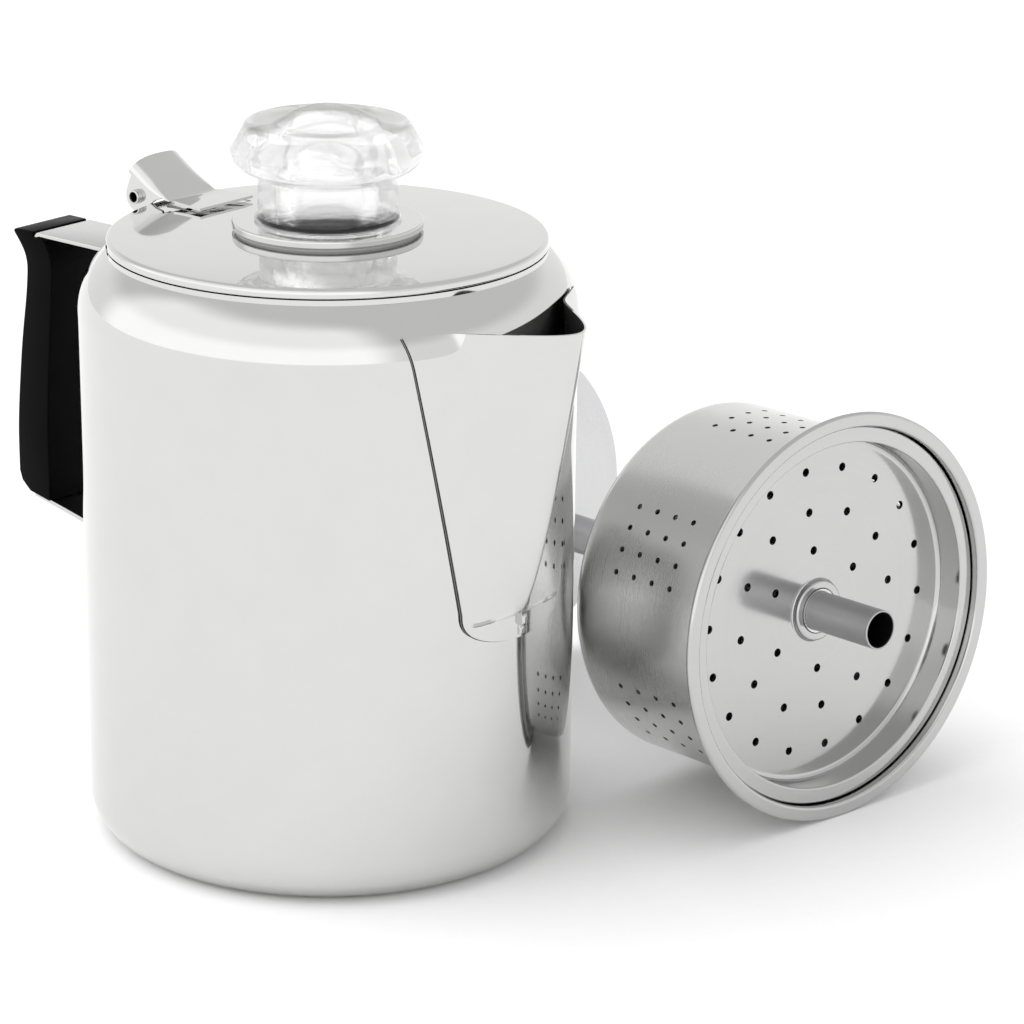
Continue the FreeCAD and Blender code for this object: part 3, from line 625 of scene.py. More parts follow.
# Silicone washer, moulded: matt pale grey.
GREY_SILICONE = MouldedPlastic("silicone_moulded_grey", "#A8A8A6", "#B4B4B2", 0.5, 0.6, 0.4, 0.01, 0.4)
# Acrylic, injection moulded: water clear, with soft waves in its skin.
CLEAR_ACRYLIC = ClearPlastic("acrylic_moulded_clear", "#FEFEFE", 1.49, 0.05, 0.12, 0.62)


class Wardrobe:
    """Every finish, each built once."""

    def __init__(self) -> None:
        """Start with nothing built."""
        self.built: dict[str, bpy.types.Material] = {}

    def dress(self, piece: bpy.types.Object, finish: Metal | MouldedPlastic | ClearPlastic) -> None:
        """Give a piece one finish all over.

        Args:
            piece: the piece, or a node of the frame.
            finish: the finish.
        """
        piece.data.materials.clear()
        piece.data.materials.append(self.material(finish))

    def material(self, finish: Metal | MouldedPlastic | ClearPlastic) -> bpy.types.Material:
        """The material of a finish, built when it is first asked for."""
        if finish.name not in self.built:
            self.built[finish.name] = finish.build()
        return self.built[finish.name]

    def line(self, piece: bpy.types.Object, finish: Metal,
             inside: Callable[[Vector, Vector], bool]) -> None:
        """Give some faces of a piece, mostly those on its inside, a second finish.

        Args:
            piece: a piece that is already dressed.
            finish: the second finish.
            inside: tells from a face's middle, in millimetres, and its direction
                whether it gets the second finish.
        """
        piece.data.materials.append(self.material(finish))
        for face in piece.data.polygons:
            if inside(face.center / MM, face.normal):
                face.material_index = 1


@dataclass
class Assembly:
    """A group of pieces that ride on one body of the frame.

    Attributes:
        wardrobe: the finishes.
    """

    wardrobe: Wardrobe

    def seat(self, piece: bpy.types.Object, body: str, slot: str,
             finish: Metal | MouldedPlastic | ClearPlastic, *nodes: str) -> bpy.types.Object:
        """Dress a piece, let it ride on its body and hide the frame's nodes that it stands for.

        Args:
            piece: the piece, already in its place.
            body: the body that it moves with.
            slot: the record's material slot; not used.
            finish: the piece's finish.
            *nodes: the frame's nodes that it replaces.

        Returns:
            The piece.
        """
        self.wardrobe.dress(piece, finish)
        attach(piece, body)
        if nodes:
            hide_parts(*nodes)
        LOG.info("piece %s rides on %s, %d faces", piece.name, body, len(piece.data.polygons))
        return piece

    def keep(self, node: str, finish: Metal | MouldedPlastic | ClearPlastic) -> None:
        """Keep a node of the frame as it is and give it a finish."""
        self.wardrobe.dress(frame["nodes"][node], finish)
        LOG.info("node %s is kept", node)


# ---- pot ------------------------------------------------------------------------------
@dataclass
class Pot(Assembly):
    """The pot with its spout.

    Attributes:
        sheet: thickness of the pot's wall.
        top_r: outside radius at the top of the wall.
        base_r: outside radius at the bottom of the wall.
        corner_r: radius of the corner between wall and base.
        shoulder_z: height where the shoulder starts.
        shoulder_r: radius of the shoulder's round.
        mouth_r: inside radius of the mouth.
        lip_z: height of the mouth's lip.
        spout_low_z: lowest point of the spout's flange.
        spout_foot_z: height where the fold leaves the wall.
        spout_top_z: height of the spout's rim.
        spout_reach: distance from the axis to the spout's lip.
        spout_sheet: thickness of the spout's sheet.
        root_top: half the fold's width at the wall, at the rim.
        root_foot: the same at the foot.
        wing_top: half the flange's width at the rim.
        wing_low: the same where its round foot starts.
        wing_low_z: height where its round foot starts.
        sieve_low_z: height of the lowest row of strainer holes.
        sieve_rows: how many rows of them there are.
        sieve_step: distance between two of them.
        sieve_margin: how far they keep away from the fold's sides.
        sieve_r: radius of one of them.
        seam_r: radius of the weld seam's bead.
    """

    sheet: float = 0.6
    top_r: float = 65.0
    base_r: float = 64.6
    corner_r: float = 10.5
    shoulder_z: float = 142.3
    shoulder_r: float = 19.0
    mouth_r: float = 56.6
    lip_z: float = 159.0
    spout_low_z: float = 66.75
    spout_foot_z: float = 69.0
    spout_top_z: float = 150.45
    spout_reach: float = 83.45
    spout_sheet: float = 0.55
    root_top: float = 20.5
    root_foot: float = 1.6
    wing_top: float = 33.0
    wing_low: float = 19.3
    wing_low_z: float = 76.5
    sieve_low_z: float = 88.0
    sieve_rows: int = 9
    sieve_step: float = 5.5
    sieve_margin: float = 3.8
    sieve_r: float = 1.5
    seam_r: float = 0.15

    def skin(self, inset: float, high: bool) -> Outline:
        """The pot's outline from the axis up to the lip, moved inwards.

        Args:
            inset: how far inwards, 0 for the outside.
            high: whether the shoulder's arc is drawn with its full number of chords.

        Returns:
            The open outline, from the middle of the base to the lip.
        """
        shoulder, corner = self.shoulder_r - inset, self.corner_r - inset
        middle = self.top_r - self.shoulder_r
        mouth = self.mouth_r + self.sheet - inset
        lean = math.degrees(math.acos((mouth - middle) / shoulder))
        steps = 40 if high else 20
        side = [(self.base_r - inset + (self.top_r - self.base_r) * t,
                 self.corner_r + (self.shoulder_z - self.corner_r) * t)
                for t in (0.02, 0.25, 0.5, 0.75, 0.98)]
        line = [(0.0, inset), (20.0, inset), (45.0, inset), (self.base_r - self.corner_r - 0.5, inset)]
        line += arc((self.base_r - self.corner_r, self.corner_r), corner, -90, 0, 24)
        line += side + arc((middle, self.shoulder_z), shoulder, 0, lean, steps)
        return line + [(mouth, self.lip_z - 0.5), (mouth, self.lip_z)]

    def shell(self) -> bpy.types.Object:
        """The pot itself, with the strainer holes behind the spout."""
        outside, inside = self.skin(0.0, True), self.skin(self.sheet, False)
        piece = lathe("pot_shell", outside + inside[::-1], 320)
        holes = []
        for row in range(self.sieve_rows):
            height = self.sieve_low_z + self.sieve_step * row
            room = self.root_half(height) - self.sieve_margin
            across = max(1, 1 + 2 * int(room / self.sieve_step))
            for i in range(across):
                aside = (i - (across - 1) / 2) * self.sieve_step
                holes.append((Vector((self.top_r, aside, height)), Vector((1, 0, 0))))
        drill(piece, holes, self.sieve_r, 8.0)
        self.seat(piece, "pot", "mirror_steel", MIRROR_STEEL, "pot_body", "pot_floor")
        # the inside faces get dark grey steel: painted shade for the pot's hollow
        self.wardrobe.line(piece, SHADED_INSIDE_STEEL, self.faces_in)
        return piece

    def faces_in(self, middle: Vector, normal: Vector) -> bool:
        """Whether a face of the pot looks to the inside, where the dark grey steel gives it painted shade.
        """
        height = min(max(middle.z, self.corner_r), self.shoulder_z)
        away = middle - Vector((0, 0, height))
        return middle.z < self.lip_z - 1.5 and normal.dot(away) < 0

    def share(self, height: float) -> float:
        """How far up the fold a height is, from 0 at its foot to 1 at the rim."""
        return (height - self.spout_foot_z) / (self.spout_top_z - self.spout_foot_z)

    def root_half(self, height: float) -> float:
        """Half the fold's width where it leaves the wall."""
        return self.root_foot + self.share(height) * (self.root_top - self.root_foot)

    def wall_r(self, height: float) -> float:
        """The outside radius of the flange that lies on the pot at a height."""
        gap = self.spout_sheet + 0.05
        if height > self.shoulder_z:
            rise = height - self.shoulder_z
            return self.top_r - self.shoulder_r + math.sqrt((self.shoulder_r + gap) ** 2 - rise ** 2)
        t = (height - self.corner_r) / (self.shoulder_z - self.corner_r)
        return self.base_r + (self.top_r - self.base_r) * t + gap

    def wing_half(self, height: float) -> float:
        """Half the flange's width at a height, straight above and round at its foot."""
        if height >= self.wing_low_z:
            slope = (self.wing_top - self.wing_low) / (self.spout_top_z - self.wing_low_z)
            return self.wing_low + slope * (height - self.wing_low_z)
        drop = (self.wing_low_z - height) / (self.wing_low_z - self.spout_low_z)
        return self.wing_low * math.sqrt(max(0.0, 1 - drop ** 2.6))

    def fold_r(self, height: float, angle: float) -> float:
        """The radius of the spout's outside at a height and an angle from its middle."""
        wall, share = self.wall_r(height), max(0.0, self.share(height))
        swell = max(0.0, (share - 0.05) / 0.95) ** 0.66
        reach = self.top_r + (self.spout_reach - self.top_r) * swell
        if reach <= wall + 0.05:
            return wall
        soft = 0.008 + 0.085 * share ** 1.6
        root = math.asin(self.root_half(height) / wall)
        edge = math.hypot(math.sin(root), soft)
        lean = (reach - wall * math.cos(root)) / (wall * edge - reach * soft)
        fold = reach * (1 + lean * soft) / (math.cos(angle) + lean * math.hypot(math.sin(angle), soft))
        blend = 0.15 + 2.2 * share
        peak = 0.5 * (wall + reach + math.hypot(reach - wall, blend)) - reach
        smooth = 0.5 * (wall + fold + math.hypot(fold - wall, blend))
        return smooth - peak * math.exp(-(angle / max(root, 1e-3)) ** 2)

    def wing(self, height: float) -> float:
        """The half angle that the spout's sheet takes at a height."""
        return math.asin(max(self.wing_half(height) / self.wall_r(height), 0.003))

    def spout(self) -> None:
        """The folded spout: one sheet whose flange lies on the wall and whose fold stands out."""
        columns, rows = 220, 190
        sheet: list[list[Vector]] = []
        for row in range(rows + 1):
            t = row / rows
            height = self.spout_low_z + (self.spout_top_z - self.spout_low_z) * t ** 1.6
            seam, wall = self.wing(height), self.wall_r(height)
            ring = []
            for column in range(columns + 1):
                s = 1 - 2 * column / columns
                angle = seam * math.copysign(abs(s) ** 1.8, s)
                fade = min(1.0, (1 - abs(s)) / 0.25)
                rise = max(0.0, self.fold_r(height, angle) - wall)
                radius = wall + rise * fade * fade * (3 - 2 * fade)
                ring.append(Vector((radius * math.cos(angle), radius * math.sin(angle), height)))
            sheet.append(ring)
        piece = loft("spout_sheet", sheet, self.spout_sheet)
        self.seat(piece, "pot", "mirror_steel", MIRROR_STEEL, "spout")
        # the spout's inside faces get dark grey steel: painted shade for its channel
        self.wardrobe.line(piece, SHADED_INSIDE_STEEL, lambda middle, normal: normal.dot(
            Vector((middle.x - 30, middle.y, 0))) < -0.3)
        self.seam()
        self.knot()

    def seam(self) -> None:
        """The thin weld seam round the spout's flange, in one round with a U-shaped foot; its dark grey
        bead is painted shade for the shadow line along the flange's edge.
        """
        steps, tall = 120, self.spout_top_z - self.spout_low_z
        heights = [self.spout_low_z + tall * (i / steps) ** 2.2 for i in range(steps + 1)]
        side = [(self.wing(z) * self.top_r, z) for z in heights]
        path = []
        for i, (arc_y, z) in enumerate(side):
            before, after = side[max(i - 1, 0)], side[min(i + 1, len(side) - 1)]
            along = Vector((after[0] - before[0], after[1] - before[1])).normalized()
            path.append((arc_y + 1.2 * self.seam_r * along.y, z - 1.2 * self.seam_r * along.x))
        left = [self.on_wall(z, y / self.top_r) for y, z in path[::-1]]
        right = [self.on_wall(z, -y / self.top_r) for y, z in path]
        piece = tube("spout_weld_seam_shade_line", left + right, self.seam_r)
        # the bead's dark grey finish is painted shade along the seam
        self.seat(piece, "pot", "mirror_steel", WELD_SEAM_SHADE_LINE)

    def on_wall(self, height: float, angle: float) -> Vector:
        """The point where the flange's edge meets the pot."""
        radius = self.wall_r(height) - 0.35 * self.spout_sheet
        return Vector((radius * math.cos(angle), radius * math.sin(angle), height))

    def knot(self) -> None:
        """The small pinched end of the fold, with the crimp that closes it."""
        low, high = self.spout_low_z + 0.6, self.spout_foot_z + 3.6
        foot = self.top_r + 0.9
        inside = self.top_r - 0.4
        outline = rounded([(inside, low, 0.3), (foot + 0.5, low, 0.4), (foot + 0.7, low + 1.8, 0.5),
                           (foot + 0.2, low + 2.4, 0.3), (foot + 1.4, low + 3.1, 0.5),
                           (foot + 1.5, high, 0.5), (inside, high + 1.0, 0.3)], 4)
        piece = extrude("spout_pinched_foot", outline, 0.95, 0.4)
        self.seat(piece, "pot", "mirror_steel", MIRROR_STEEL)

    def build(self) -> None:
        """Build the pot's own pieces."""
        self.shell()
        self.spout()


# ---- grip -------------------------------------------------------------------------------
@dataclass
class Grip(Assembly):
    """The black grip and its steel fittings.

    Attributes:
        half: half the grip's width.
        edge: radius of its rounded rims.
        outer: its outer side, from the top lip down, in x and z.
        inner: its inner side, from the foot up.
        strap_sheet: thickness of the upper strap.
        strap_half: half its width.
        strap_root_x: where it ends in the saddle.
        tongue: how far it is folded down into the grip.
        saddle_low_z: the saddle's lower end.
        saddle_sheet: its thickness.
        saddle_lift: how far its outside stands off the pot's outside.
        pin_r: the hinge pin's radius.
        pin_bore: the radius of its hollow.
    """

    half: float = 10.2
    edge: float = 2.0
    outer: Sequence[tuple[float, float]] = ((-107.8, 146.0), (-103.4, 139.6), (-103.4, 131.0),
                                            (-106.2, 113.0), (-108.4, 92.0), (-108.6, 77.0))
    inner: Sequence[tuple[float, float]] = ((-96.6, 78.0), (-96.6, 92.0), (-95.2, 113.0),
                                            (-93.6, 131.0), (-93.4, 139.6), (-96.4, 145.4))
    strap_sheet: float = 1.2
    strap_half: float = 10.0
    strap_root_x: float = -63.9
    tongue: float = 8.8
    saddle_low_z: float = 136.3
    saddle_sheet: float = 0.9
    saddle_lift: float = 0.95
    pin_r: float = 1.9
    pin_bore: float = 1.25

    def body(self) -> bpy.types.Object:
        """The moulded grip."""
        top = frame_top("handle_grip")
        outline = smooth_path(self.outer) + [(-107.6, 74.2), (-104.6, 71.6), (-96.8, 70.1)]
        outline += smooth_path(self.inner) + [(-96.6, top - 1.3), (-100.1, top - 1.3), (-100.1, top),
                                              (-106.6, top), (-107.6, top - 0.4)]
        piece = extrude("grip_body", outline, self.half, self.edge)
        return self.seat(piece, "pot", "black_phenolic", BLACK_PHENOLIC, "handle_grip")

    def build(self) -> None:
        """Build the grip and dress its fittings."""
        self.body()
        self.fittings()
        self.pin()
        self.keep("handle_insert", TURNED_BRASS)

    def fittings(self) -> None:
        """The straps, the screw and the hinge lug, with their rims broken."""
        self.upper_strap()
        for node, name, edge in (("lower_handle_strap", "lower_strap_folded", 0.3),
                                 ("hinge_lug", "hinge_lug_welded", 0.25),
                                 ("handle_screw", "screw_cross_head", 0.15)):
            self.seat(soften(node, name, edge), "pot", "satin_steel", SATIN_STEEL, node)

    def upper_strap(self) -> None:
        """The strap over the grip: folded down into the grip's slot and welded to a saddle."""
        low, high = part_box("upper_handle_strap")
        top, end, root, thick = high.z / MM, low.x / MM, self.strap_root_x, self.strap_sheet
        outline = rounded([(root, top, 0.0), (end, top, 1.9), (end, top - self.tongue, 0.3),
                           (end + thick, top - self.tongue, 0.3), (end + thick, top - thick, 0.8),
                           (root, top - thick, 0.0)], 6)
        strap = extrude("upper_strap_folded", outline, self.strap_half, 0.35)
        self.seat(strap, "pot", "satin_steel", SATIN_STEEL, "upper_handle_strap")
        middle, round_r, steps = Pot.top_r - Pot.shoulder_r, Pot.shoulder_r + self.saddle_lift, 24
        tall = top - thick + 0.3 - self.saddle_low_z
        rows = []
        for i in range(steps + 1):
            z = self.saddle_low_z + tall * i / steps
            rise = max(0.0, z - Pot.shoulder_z)
            radius = middle + math.sqrt(round_r ** 2 - rise ** 2)
            reach = math.asin((self.strap_half - 0.1) / radius)
            turns = [math.pi + reach * (2 * j / steps - 1) for j in range(steps + 1)]
            rows.append([Vector((radius * math.cos(t), radius * math.sin(t), z)) for t in turns])
        saddle = loft("upper_strap_saddle", rows, self.saddle_sheet)
        self.seat(saddle, "pot", "satin_steel", SATIN_STEEL)

    def pin(self) -> None:
        """The hollow pin that the hinge's leaf turns on, rolled at both ends."""
        low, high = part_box("hinge_pin")
        half = (high.y - low.y) / 2 / MM
        outline = rounded([(self.pin_bore, -half, 0.2), (self.pin_r, -half, 0.35),
                           (self.pin_r, half, 0.35), (self.pin_bore, half, 0.2)], 4)
        piece = lathe("hinge_pin_rolled", outline, 64)
        turn = Matrix.Rotation(math.radians(90), 4, "X")
        piece.matrix_world = Matrix.Translation((low + high) / 2) @ turn
        self.seat(piece, "pot", "satin_steel", SATIN_STEEL, "hinge_pin")
        # the pin's bore gets dark grey steel: painted shade in the bore
        self.wardrobe.line(piece, SHADED_INSIDE_STEEL, lambda middle, normal: normal.dot(
            Vector((middle.x, middle.y, 0))) < -0.2)


# ---- lid ----------------------------------------------------------------------------------
@dataclass
class Lid(Assembly):
    """The hinged lid with its leaf and the steel collar of its knob.

    Attributes:
        outer_r: the lid's radius.
        rim_z: underside of the rim.
        plate_z: top of the rim.
        crown: how much higher the middle is.
        sheet: the plate's thickness.
        hole_r: radius of the knob's hole.
        collar_r: outside radius of the collar.
        collar_bore: its inside radius.
        skirt_r: outside radius of the plug skirt.
        skirt_low: the skirt's lower edge.
        skirt_sheet: its thickness.
        leaf_end_x: where the leaf's flat tongue ends.
        leaf_lift: how far the tongue's underside stands off the lid.
        leaf_sheet: thickness of the leaf.
        leaf_half: half its width.
        tab_drop: how far the thumb tab's sides are arched down.
        cheek_side: how far each cheek stands from the middle.
        cheek_r: radius of a cheek round the pin.
        cheek_half: half its thickness.
        pin_room: gap between the pin and a cheek's bore.
    """

    outer_r: float = 57.3
    rim_z: float = 159.2
    plate_z: float = 161.9
    crown: float = 1.0
    sheet: float = 0.8
    hole_r: float = 18.5
    collar_r: float = 24.8
    collar_bore: float = 18.2
    skirt_r: float = 56.0
    skirt_low: float = 157.0
    skirt_sheet: float = 0.7
    leaf_end_x: float = -36.2
    leaf_lift: float = 0.45
    leaf_sheet: float = 0.7
    leaf_half: float = 10.0
    tab_drop: float = 4.4
    cheek_side: float = 7.9
    cheek_r: float = 4.45
    cheek_half: float = 0.45
    pin_room: float = 0.05

    def plate(self) -> bpy.types.Object:
        """The crowned plate with its beaded rim and the short plug skirt."""
        edge = self.outer_r - 1.3
        top = [(r, self.plate_z + self.crown * (1 - (r / self.outer_r) ** 2) - 0.15 * (r / edge) ** 8)
               for r in [self.hole_r + (edge - self.hole_r) * i / 24 for i in range(25)]]
        rim = [(edge, self.plate_z - 0.10)] + arc((edge, self.plate_z - 1.35), 1.25, 80, 0, 10)
        skirt_in = self.skirt_r - self.skirt_sheet
        rim += rounded([(self.outer_r, self.plate_z - 1.6, 0.0), (self.outer_r, self.rim_z, 0.5),
                        (self.skirt_r, self.rim_z, 0.2), (self.skirt_r, self.skirt_low, 0.2),
                        (skirt_in, self.skirt_low, 0.2), (skirt_in, self.plate_z - self.sheet, 0.3),
                        (self.hole_r + 1, self.plate_z + self.crown - self.sheet, 0.0)], 5)
        piece = lathe("lid_plate_polished", top + rim[1:] + [(self.hole_r, top[0][1] - self.sheet)], 320)
        return self.seat(piece, "lid", "mirror_steel", MIRROR_STEEL, "lid_plate")

    def collar(self) -> bpy.types.Object:
        """The steel collar that the knob turns in."""
        low, high = frame_low("knob_collar"), frame_top("knob_collar")
        outline = rounded([(self.collar_bore, low, 0.1), (self.collar_r, low, 0.35),
                           (self.collar_r, high, 0.5), (self.collar_bore, high, 0.3)], 5)
        piece = lathe("knob_collar_ring", outline, 256)
        return self.seat(piece, "lid", "mirror_steel", MIRROR_STEEL, "knob_collar")

    def build(self) -> None:
        """Build the lid's pieces."""
        self.plate()
        self.collar()
        self.leaf()
        self.cheeks()
        self.keep("knob_gasket", GREY_SILICONE)

    def leaf(self) -> None:
        """The stamped leaf: a flat tongue that bends up into the arched thumb tab."""
        base = frame_top("lid_plate") + self.leaf_lift
        path = smooth_path([(self.leaf_end_x, base), (-41.0, base), (-45.5, base), (-48.6, base + 0.4),
                            (-51.0, base + 2.4), (-54.2, base + 5.1), (-58.0, base + 7.6),
                            (-61.2, base + 9.7)], 8)
        columns = 32
        rows = []
        for i, (x, z) in enumerate(path):
            before, after = path[max(i - 1, 0)], path[min(i + 1, len(path) - 1)]
            along = Vector((after[0] - before[0], 0, after[1] - before[1])).normalized()
            outward = Vector((along.z, 0, -along.x))
            t = min(max((-47.0 - x) / 9.0, 0.0), 1.0)
            drop = self.tab_drop * t * t * (3 - 2 * t)
            half = self.leaf_half - 1.6 * min(1.0, (self.leaf_end_x - x) / 12.0)
            row = []
            for column in range(columns + 1):
                v = math.sin(math.pi / 2 * (2 * column / columns - 1))
                bow = 1 - (1 - abs(v) ** 2.6) ** (1 / 2.6)
                row.append(Vector((x, half * v, z)) - outward * drop * bow)
            rows.append(row)
        piece = loft("hinge_leaf_stamped", rows, -self.leaf_sheet)
        self.seat(piece, "lid", "mirror_steel", MIRROR_STEEL, "lid_hinge_leaf")
        self.leaf_seam(base)

    def leaf_seam(self, base: float) -> None:
        """The bead that welds the leaf to the lid, along both of its sides; its dark grey is painted shade
        for the shadow line in the gap under the leaf.
        """
        seam = [Vector((x, half, base - 0.98)) for x, half in ((-50.4, 7.9), (-48.0, 8.0), (-36.6, 9.6))]
        seam += [Vector((p.x, -p.y, p.z)) for p in seam[::-1]]
        # the bead's dark grey finish is painted shade in the gap under the leaf
        self.seat(tube("hinge_leaf_weld_shade_line", seam, 0.26), "lid", "mirror_steel", WELD_SEAM_SHADE_LINE)

    def cheeks(self) -> None:
        """The leaf's two cheeks, bored for the pin."""
        low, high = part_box("hinge_pin")
        x, z = (low.x + high.x) / 2 / MM, (low.z + high.z) / 2 / MM
        outline = [(x - 1.4, z + 7.7), (x - 3.4, z + 3.4), (x - 4.3, z + 0.9)]
        outline += arc((x, z), self.cheek_r, 180, 335, 20)
        outline += [(x + 6.6, z - 0.1), (x + 8.8, z + 0.6), (x + 9.2, z + 1.6), (x + 5.0, z + 4.3)]
        for name, side in (("hinge_cheek_left", 1), ("hinge_cheek_right", -1)):
            piece = extrude(name, outline, self.cheek_half, 0.2)
            aside = side * self.cheek_side
            piece.data.transform(Matrix.Translation((0, aside * MM, 0)))
            drill(piece, [(Vector((x, aside, z)), Vector((0, 1, 0)))], Grip.pin_r + self.pin_room, 4.0)
            self.seat(piece, "lid", "mirror_steel", MIRROR_STEEL)


# ---- knob ----------------------------------------------------------------------------------
@dataclass
class Knob(Assembly):
    """The clear fluted knob and the ring that locks it.

    Attributes:
        lid_z: height of the lid's rim, from which the other heights count.
        neck_r: radius of the neck.
        neck_top: height of the neck's top.
        head_r: widest radius of the head.
        widest: height of the widest ring.
        crown_r: radius of the crown's edge.
        crown_h: height of the crown's edge.
        cap_r: radius of the raised cap.
        cap_h: height of the cap's edge.
        top_h: height of the cap's top.
        well_r: radius of the hollow inside.
        well_h: height of the hollow's top.
        flutes: how many flutes there are round the head.
        flute_r: radius of one flute.
        flute_depth: its depth.
    """

    lid_z: float = 161.9
    neck_r: float = 18.1
    neck_top: float = 15.4
    head_r: float = 25.1
    widest: float = 22.0
    crown_r: float = 20.6
    crown_h: float = 29.4
    cap_r: float = 13.4
    cap_h: float = 29.0
    top_h: float = 33.55
    well_r: float = 13.0
    well_h: float = 24.0
    flutes: int = 10
    flute_r: float = 9.0
    flute_depth: float = 1.3

    def dome(self, radius: float, low: float, high: float, steps: int = 14) -> Outline:
        """A dome from its edge to the axis, meeting the axis squarely."""
        rise = high - low
        ball = (radius ** 2 + rise ** 2) / (2 * rise)
        reach = math.asin(radius / ball)
        turns = [reach * (1 - i / steps) for i in range(steps + 1)]
        return [(ball * math.sin(t) if t > 1e-9 else 0.0, high - ball * (1 - math.cos(t)))
                for t in turns]

    def fluted(self, radius: float, height: float, angle: float) -> float:
        """The head's radius with the flutes cut into it."""
        if height < self.lid_z + self.neck_top:
            return radius
        step = 2 * math.pi / self.flutes
        off = (angle + step / 2) % step - step / 2
        centre = self.head_r + self.flute_r - self.flute_depth
        side = centre * math.sin(off)
        if abs(side) >= self.flute_r:
            return radius
        cut = centre * math.cos(off) - math.sqrt(self.flute_r ** 2 - side ** 2)
        return min(radius, cut)

    def body(self) -> bpy.types.Object:
        """The knob: plug, neck, fluted head and the hollow from below."""
        foot, seat = frame_low("knob"), self.lid_z + 3.9
        neck, widest, crown = (self.lid_z + h for h in (self.neck_top, self.widest, self.crown_h))
        outer = [(self.well_r, foot), (self.neck_r - 0.4, foot), (self.neck_r, foot + 0.4),
                 (self.neck_r, seat), (self.neck_r + 0.9, seat), (self.neck_r + 0.9, seat + 0.4),
                 (self.neck_r, seat + 1.3)]
        outer += [(self.neck_r, neck - 0.6), (self.neck_r + 0.15, neck - 0.15)]
        outer += smooth_path([(self.neck_r + 0.7, neck + 0.2), (self.head_r - 2.6, neck + 2.2),
                              (self.head_r - 0.6, widest - 2.2), (self.head_r, widest)], 5)
        outer += [(self.head_r - 0.1, widest + 0.6), (self.crown_r + 1.3, crown - 1.4),
                  (self.crown_r + 0.8, crown - 0.5), (self.crown_r, crown),
                  (self.cap_r + 1.6, crown - 0.25), (self.cap_r + 0.4, crown - 0.5)]
        outer += self.dome(self.cap_r, self.lid_z + self.cap_h, self.lid_z + self.top_h)
        well_low = self.lid_z + self.well_h - self.well_r / 2
        inner = self.dome(self.well_r, well_low, self.lid_z + self.well_h)[::-1]
        piece = lathe("knob_clear", outer + inner, 240, self.fluted)
        return self.seat(piece, "knob", "clear_acrylic", CLEAR_ACRYLIC, "knob")

    def build(self) -> None:
        """Build the knob and dress its ring."""
        self.body()
        self.keep("knob_retainer", CLEAR_ACRYLIC)


